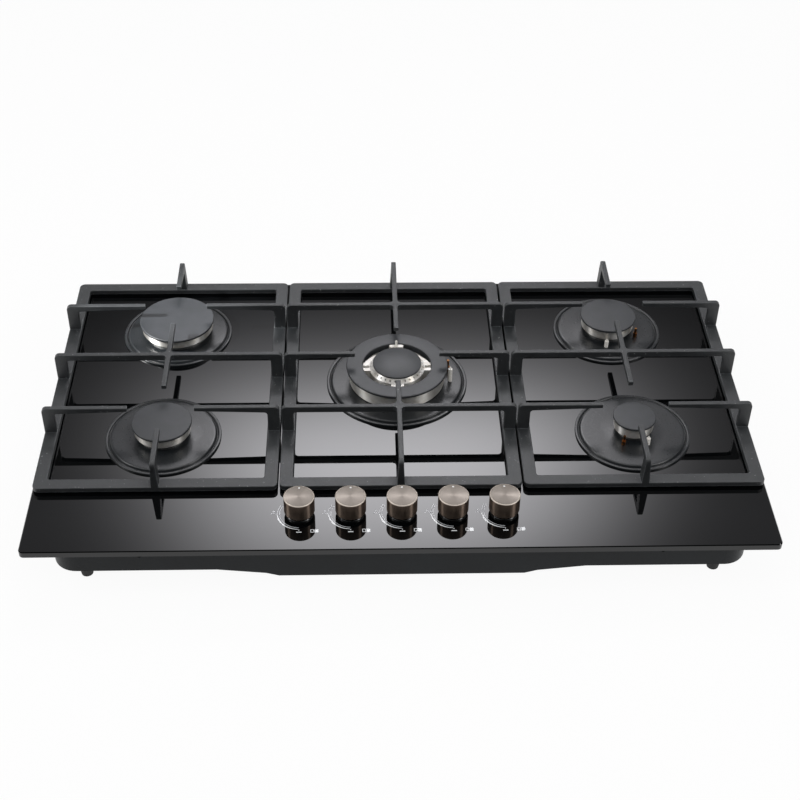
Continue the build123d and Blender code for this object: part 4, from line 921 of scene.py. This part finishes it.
# ------------------------------------------------------------------ studio
class COOKTOP_OT_stage(bpy.types.Operator):
    """White floor and surroundings, glowing card, black flags, lamps and the camera"""
    bl_idname = "cooktop.stage"
    bl_label = "Set up studio"

    def execute(self, context):
        scene = context.scene
        scene.view_settings.view_transform = "Standard"
        self.floor()
        self.card()
        self.world(scene)
        self.flags()
        self.lamp("left_softbox", (-2.2, -0.35, 1.5), (0.56, 1.3), 8.0)
        self.lamp("right_softbox", (2.0, -1.0, 1.6), (0.56, 1.2), 7.5)
        self.spot()
        self.camera(scene)
        return {"FINISHED"}

    @staticmethod
    def seen(tree):
        """1 for rays from the camera, in mirrors and through glass, so that all show the white."""
        path = put(tree, "ShaderNodeLightPath").outputs
        share = path["Is Camera Ray"]
        for ray in ("Glossy", "Transmission"):
            share = put(tree, "ShaderNodeMath", [share, path[f"Is {ray} Ray"]],
                        operation="MAXIMUM").outputs[0]
        return share

    def floor(self):
        """Flat white floor: 6 m square, grid point (i, j) at (x_i, y_j, 0)."""
        half = np.linspace(-3, 3, 13)
        x, y = np.meshgrid(half, half)
        vertices = np.stack([x, y, np.zeros_like(x)], -1).reshape(-1, 3)
        faces = quads(np.arange(x.size).reshape(x.shape))
        mesh = bpy.data.meshes.new("floor")
        mesh.from_pydata(vertices.tolist(), [], faces.tolist())
        material, tree, shader = surface("paper_sweep_white", linear("f4f4f4"), 0.9)
        glow = put(tree, "ShaderNodeEmission", {"Color": (1, 1, 1, 1), "Strength": 1.0})
        share = put(tree, "ShaderNodeMath", [self.seen(tree), 0.94], operation="MULTIPLY")
        mix = put(tree, "ShaderNodeMixShader",
                  [share.outputs[0], shader.outputs[0], glow.outputs[0]])
        output = next(n for n in tree.nodes if n.type == "OUTPUT_MATERIAL")
        tree.links.new(mix.outputs[0], output.inputs["Surface"])
        mesh.materials.append(material)
        floor = linked("floor", mesh)

    @staticmethod
    def card():
        """Upright diffusing card 1.5 m behind the middle, lit from the back by a soft round glow.

        Its strength is base(z) + peak exp(-|(x - x0) / a|^2.9) exp(-(z - z0)^2 / 2 s^2), with a
        smaller s below z0 than above it.
        """
        x0, a, z0, peak = 0.045, 0.56, 1.56, 7.9
        s_below, s_above = 0.215, 0.33
        vertices = [(-1.7, 1.5, 0.45), (1.8, 1.5, 0.45), (1.8, 1.5, 2.7), (-1.7, 1.5, 2.7)]
        mesh = bpy.data.meshes.new("light_card")
        mesh.from_pydata(vertices, [], [(0, 1, 2, 3)])
        material = bpy.data.materials.new("diffusing_card")
        material.use_nodes = True
        tree = material.node_tree
        tree.nodes.clear()
        x, _, z = put(tree, "ShaderNodeSeparateXYZ",
                      [put(tree, "ShaderNodeTexCoord").outputs["Object"]]).outputs
        across = x
        for operation, other in (("SUBTRACT", x0), ("DIVIDE", a), ("ABSOLUTE", 0.0),
                                 ("POWER", 2.9), ("MULTIPLY", -1.0), ("EXPONENT", 0.0)):
            across = put(tree, "ShaderNodeMath", [across, other], operation=operation).outputs[0]
        rise = put(tree, "ShaderNodeMath", [z, z0], operation="SUBTRACT").outputs[0]
        s = put(tree, "ShaderNodeMapRange", [rise, -0.02, 0.02, s_below, s_above]).outputs[0]
        rise = put(tree, "ShaderNodeMath", [rise, s], operation="DIVIDE").outputs[0]
        for operation, other in (("MULTIPLY", rise), ("MULTIPLY", -0.5), ("EXPONENT", 0.0)):
            rise = put(tree, "ShaderNodeMath", [rise, other], operation=operation).outputs[0]
        base = put(tree, "ShaderNodeMapRange", [z, 1.0, 1.75, 0.1, 0.34]).outputs[0]
        glow = across
        for operation, other in (("MULTIPLY", rise), ("MULTIPLY", peak), ("ADD", base)):
            glow = put(tree, "ShaderNodeMath", [glow, other], operation=operation).outputs[0]
        light = put(tree, "ShaderNodeEmission", {"Color": linear("fcfbff"), "Strength": glow})
        put(tree, "ShaderNodeOutputMaterial", {"Surface": light.outputs[0]})
        mesh.materials.append(material)
        card = linked("light_card", mesh)
        card.visible_camera = False

    @staticmethod
    def flags():
        """Black cloths for reflections only: in front, at both sides and on the front floor."""
        front, back, top = -1.9, 1.4, 2.2
        corners = [[(-3.0, front, 0.05), (2.1, front, 0.05), (2.1, front, top),
                    (-3.0, front, top)],
                   [(-2.8, back, 0.02), (-2.8, front, 0.02), (-2.8, front, top),
                    (-2.8, back, top)],
                   [(2.7, front, 0.02), (2.7, back, 0.02), (2.7, back, top), (2.7, front, top)],
                   [(-0.9, front, 0.002), (0.9, front, 0.002), (0.9, -0.4, 0.002),
                    (-0.9, -0.4, 0.002)]]
        mesh = bpy.data.meshes.new("black_flags")
        mesh.from_pydata(sum(corners, []), [], np.arange(16).reshape(4, 4).tolist())
        mesh.materials.append(surface("cloth_black", linear("0a0a0a"), 0.95)[0])
        flag = linked("black_flags", mesh)
        for ray in ("camera", "diffuse", "transmission", "shadow"):
            setattr(flag, f"visible_{ray}", False)

    def world(self, scene):
        """Soft light from all round, which the camera, mirrors and glass see as white."""
        world = bpy.data.worlds.new("white_studio")
        scene.world = world
        world.use_nodes = True
        tree = world.node_tree
        tree.nodes.clear()
        soft = put(tree, "ShaderNodeBackground", {"Color": (1, 1, 1, 1), "Strength": 0.55})
        white = put(tree, "ShaderNodeBackground", {"Color": (1, 1, 1, 1), "Strength": 1.0})
        mix = put(tree, "ShaderNodeMixShader",
                  [self.seen(tree), soft.outputs[0], white.outputs[0]])
        put(tree, "ShaderNodeOutputWorld", {"Surface": mix.outputs[0]})

    @staticmethod
    def lamp(name, place, size, radiance):
        """Rectangular softbox facing the cooktop, as bright as `radiance` seen straight on."""
        light = bpy.data.lights.new(name, "AREA")
        light.shape = "RECTANGLE"
        light.size, light.size_y = size
        light.energy = radiance * math.pi * size[0] * size[1]
        lamp = linked(name, light)
        lamp.location = place
        cooktop = Vector((0, 0, 0.07))
        aim = cooktop - Vector(place)
        lamp.rotation_euler = aim.to_track_quat("-Z", "Y").to_euler()

    @staticmethod
    def spot():
        """Small hard lamp, up to the left, whose narrow cone holds the back left burner alone."""
        target = Vector((*middle("burner_cap_back_left")[0], 0.09))
        light = bpy.data.lights.new("left_spot", "SPOT")
        light.energy, light.shadow_soft_size = 150.0, 0.012
        light.spot_size, light.spot_blend = math.radians(7.4), 0.35
        lamp = linked("left_spot", light)
        towards, distance = Vector((-0.78, -0.165, 0.61)), 1.2
        lamp.location = target + towards * distance
        lamp.rotation_euler = (target - lamp.location).to_track_quat("-Z", "Y").to_euler()

    @staticmethod
    def camera(scene):
        """Camera as in the photograph: yaw to the right, pitch down, a small roll."""
        yaw, pitch, roll = (math.radians(a) for a in (2.089, 39.997, 0.894))
        ahead = Vector((math.sin(yaw) * math.cos(pitch), math.cos(yaw) * math.cos(pitch),
                        -math.sin(pitch)))
        level = Vector((math.cos(yaw), -math.sin(yaw), 0))
        above = level.cross(ahead)
        right = math.cos(roll) * level + math.sin(roll) * above
        up = math.cos(roll) * above - math.sin(roll) * level
        data = bpy.data.cameras.new("camera")
        data.sensor_width = 36
        data.lens = 65.89
        camera = linked("camera", data)
        place = Matrix.Translation((-0.04823, -1.40408, 1.24699))
        camera.matrix_world = place @ Matrix((right, up, -ahead)).transposed().to_4x4()
        scene.camera = camera


# ------------------------------------------------------------------ panel and registration
class COOKTOP_PT_sidebar(bpy.types.Panel):
    """Buttons and settings in the 3D view's sidebar"""
    bl_idname = "COOKTOP_PT_sidebar"
    bl_label = "Gas cooktop"
    bl_space_type = "VIEW_3D"
    bl_region_type = "UI"
    bl_category = "Cooktop"

    def draw(self, context):
        for operator in OPERATORS:
            self.layout.operator(operator.bl_idname)
        for group in (finish_of(context), sizes_of(context)):
            for name in group.__annotations__:
                self.layout.prop(group, name)


OPERATORS = (COOKTOP_OT_panel, COOKTOP_OT_supports, COOKTOP_OT_drip_rings, COOKTOP_OT_burners,
             COOKTOP_OT_caps, COOKTOP_OT_candle, COOKTOP_OT_knobs, COOKTOP_OT_dial_marks,
             COOKTOP_OT_works, COOKTOP_OT_stage)
CLASSES = (CooktopFinish, CooktopSizes) + OPERATORS + (COOKTOP_PT_sidebar,)


def register():
    for cls in CLASSES:
        bpy.utils.register_class(cls)
    bpy.types.Scene.cooktop_finish = bpy.props.PointerProperty(type=CooktopFinish)
    bpy.types.Scene.cooktop_sizes = bpy.props.PointerProperty(type=CooktopSizes)


def unregister():
    del bpy.types.Scene.cooktop_sizes
    del bpy.types.Scene.cooktop_finish
    for cls in reversed(CLASSES):
        bpy.utils.unregister_class(cls)


def main():
    register()
    for operator in OPERATORS:
        group, name = operator.bl_idname.split(".")
        getattr(getattr(bpy.ops, group), name)()


if __name__ == "__main__":
    main()
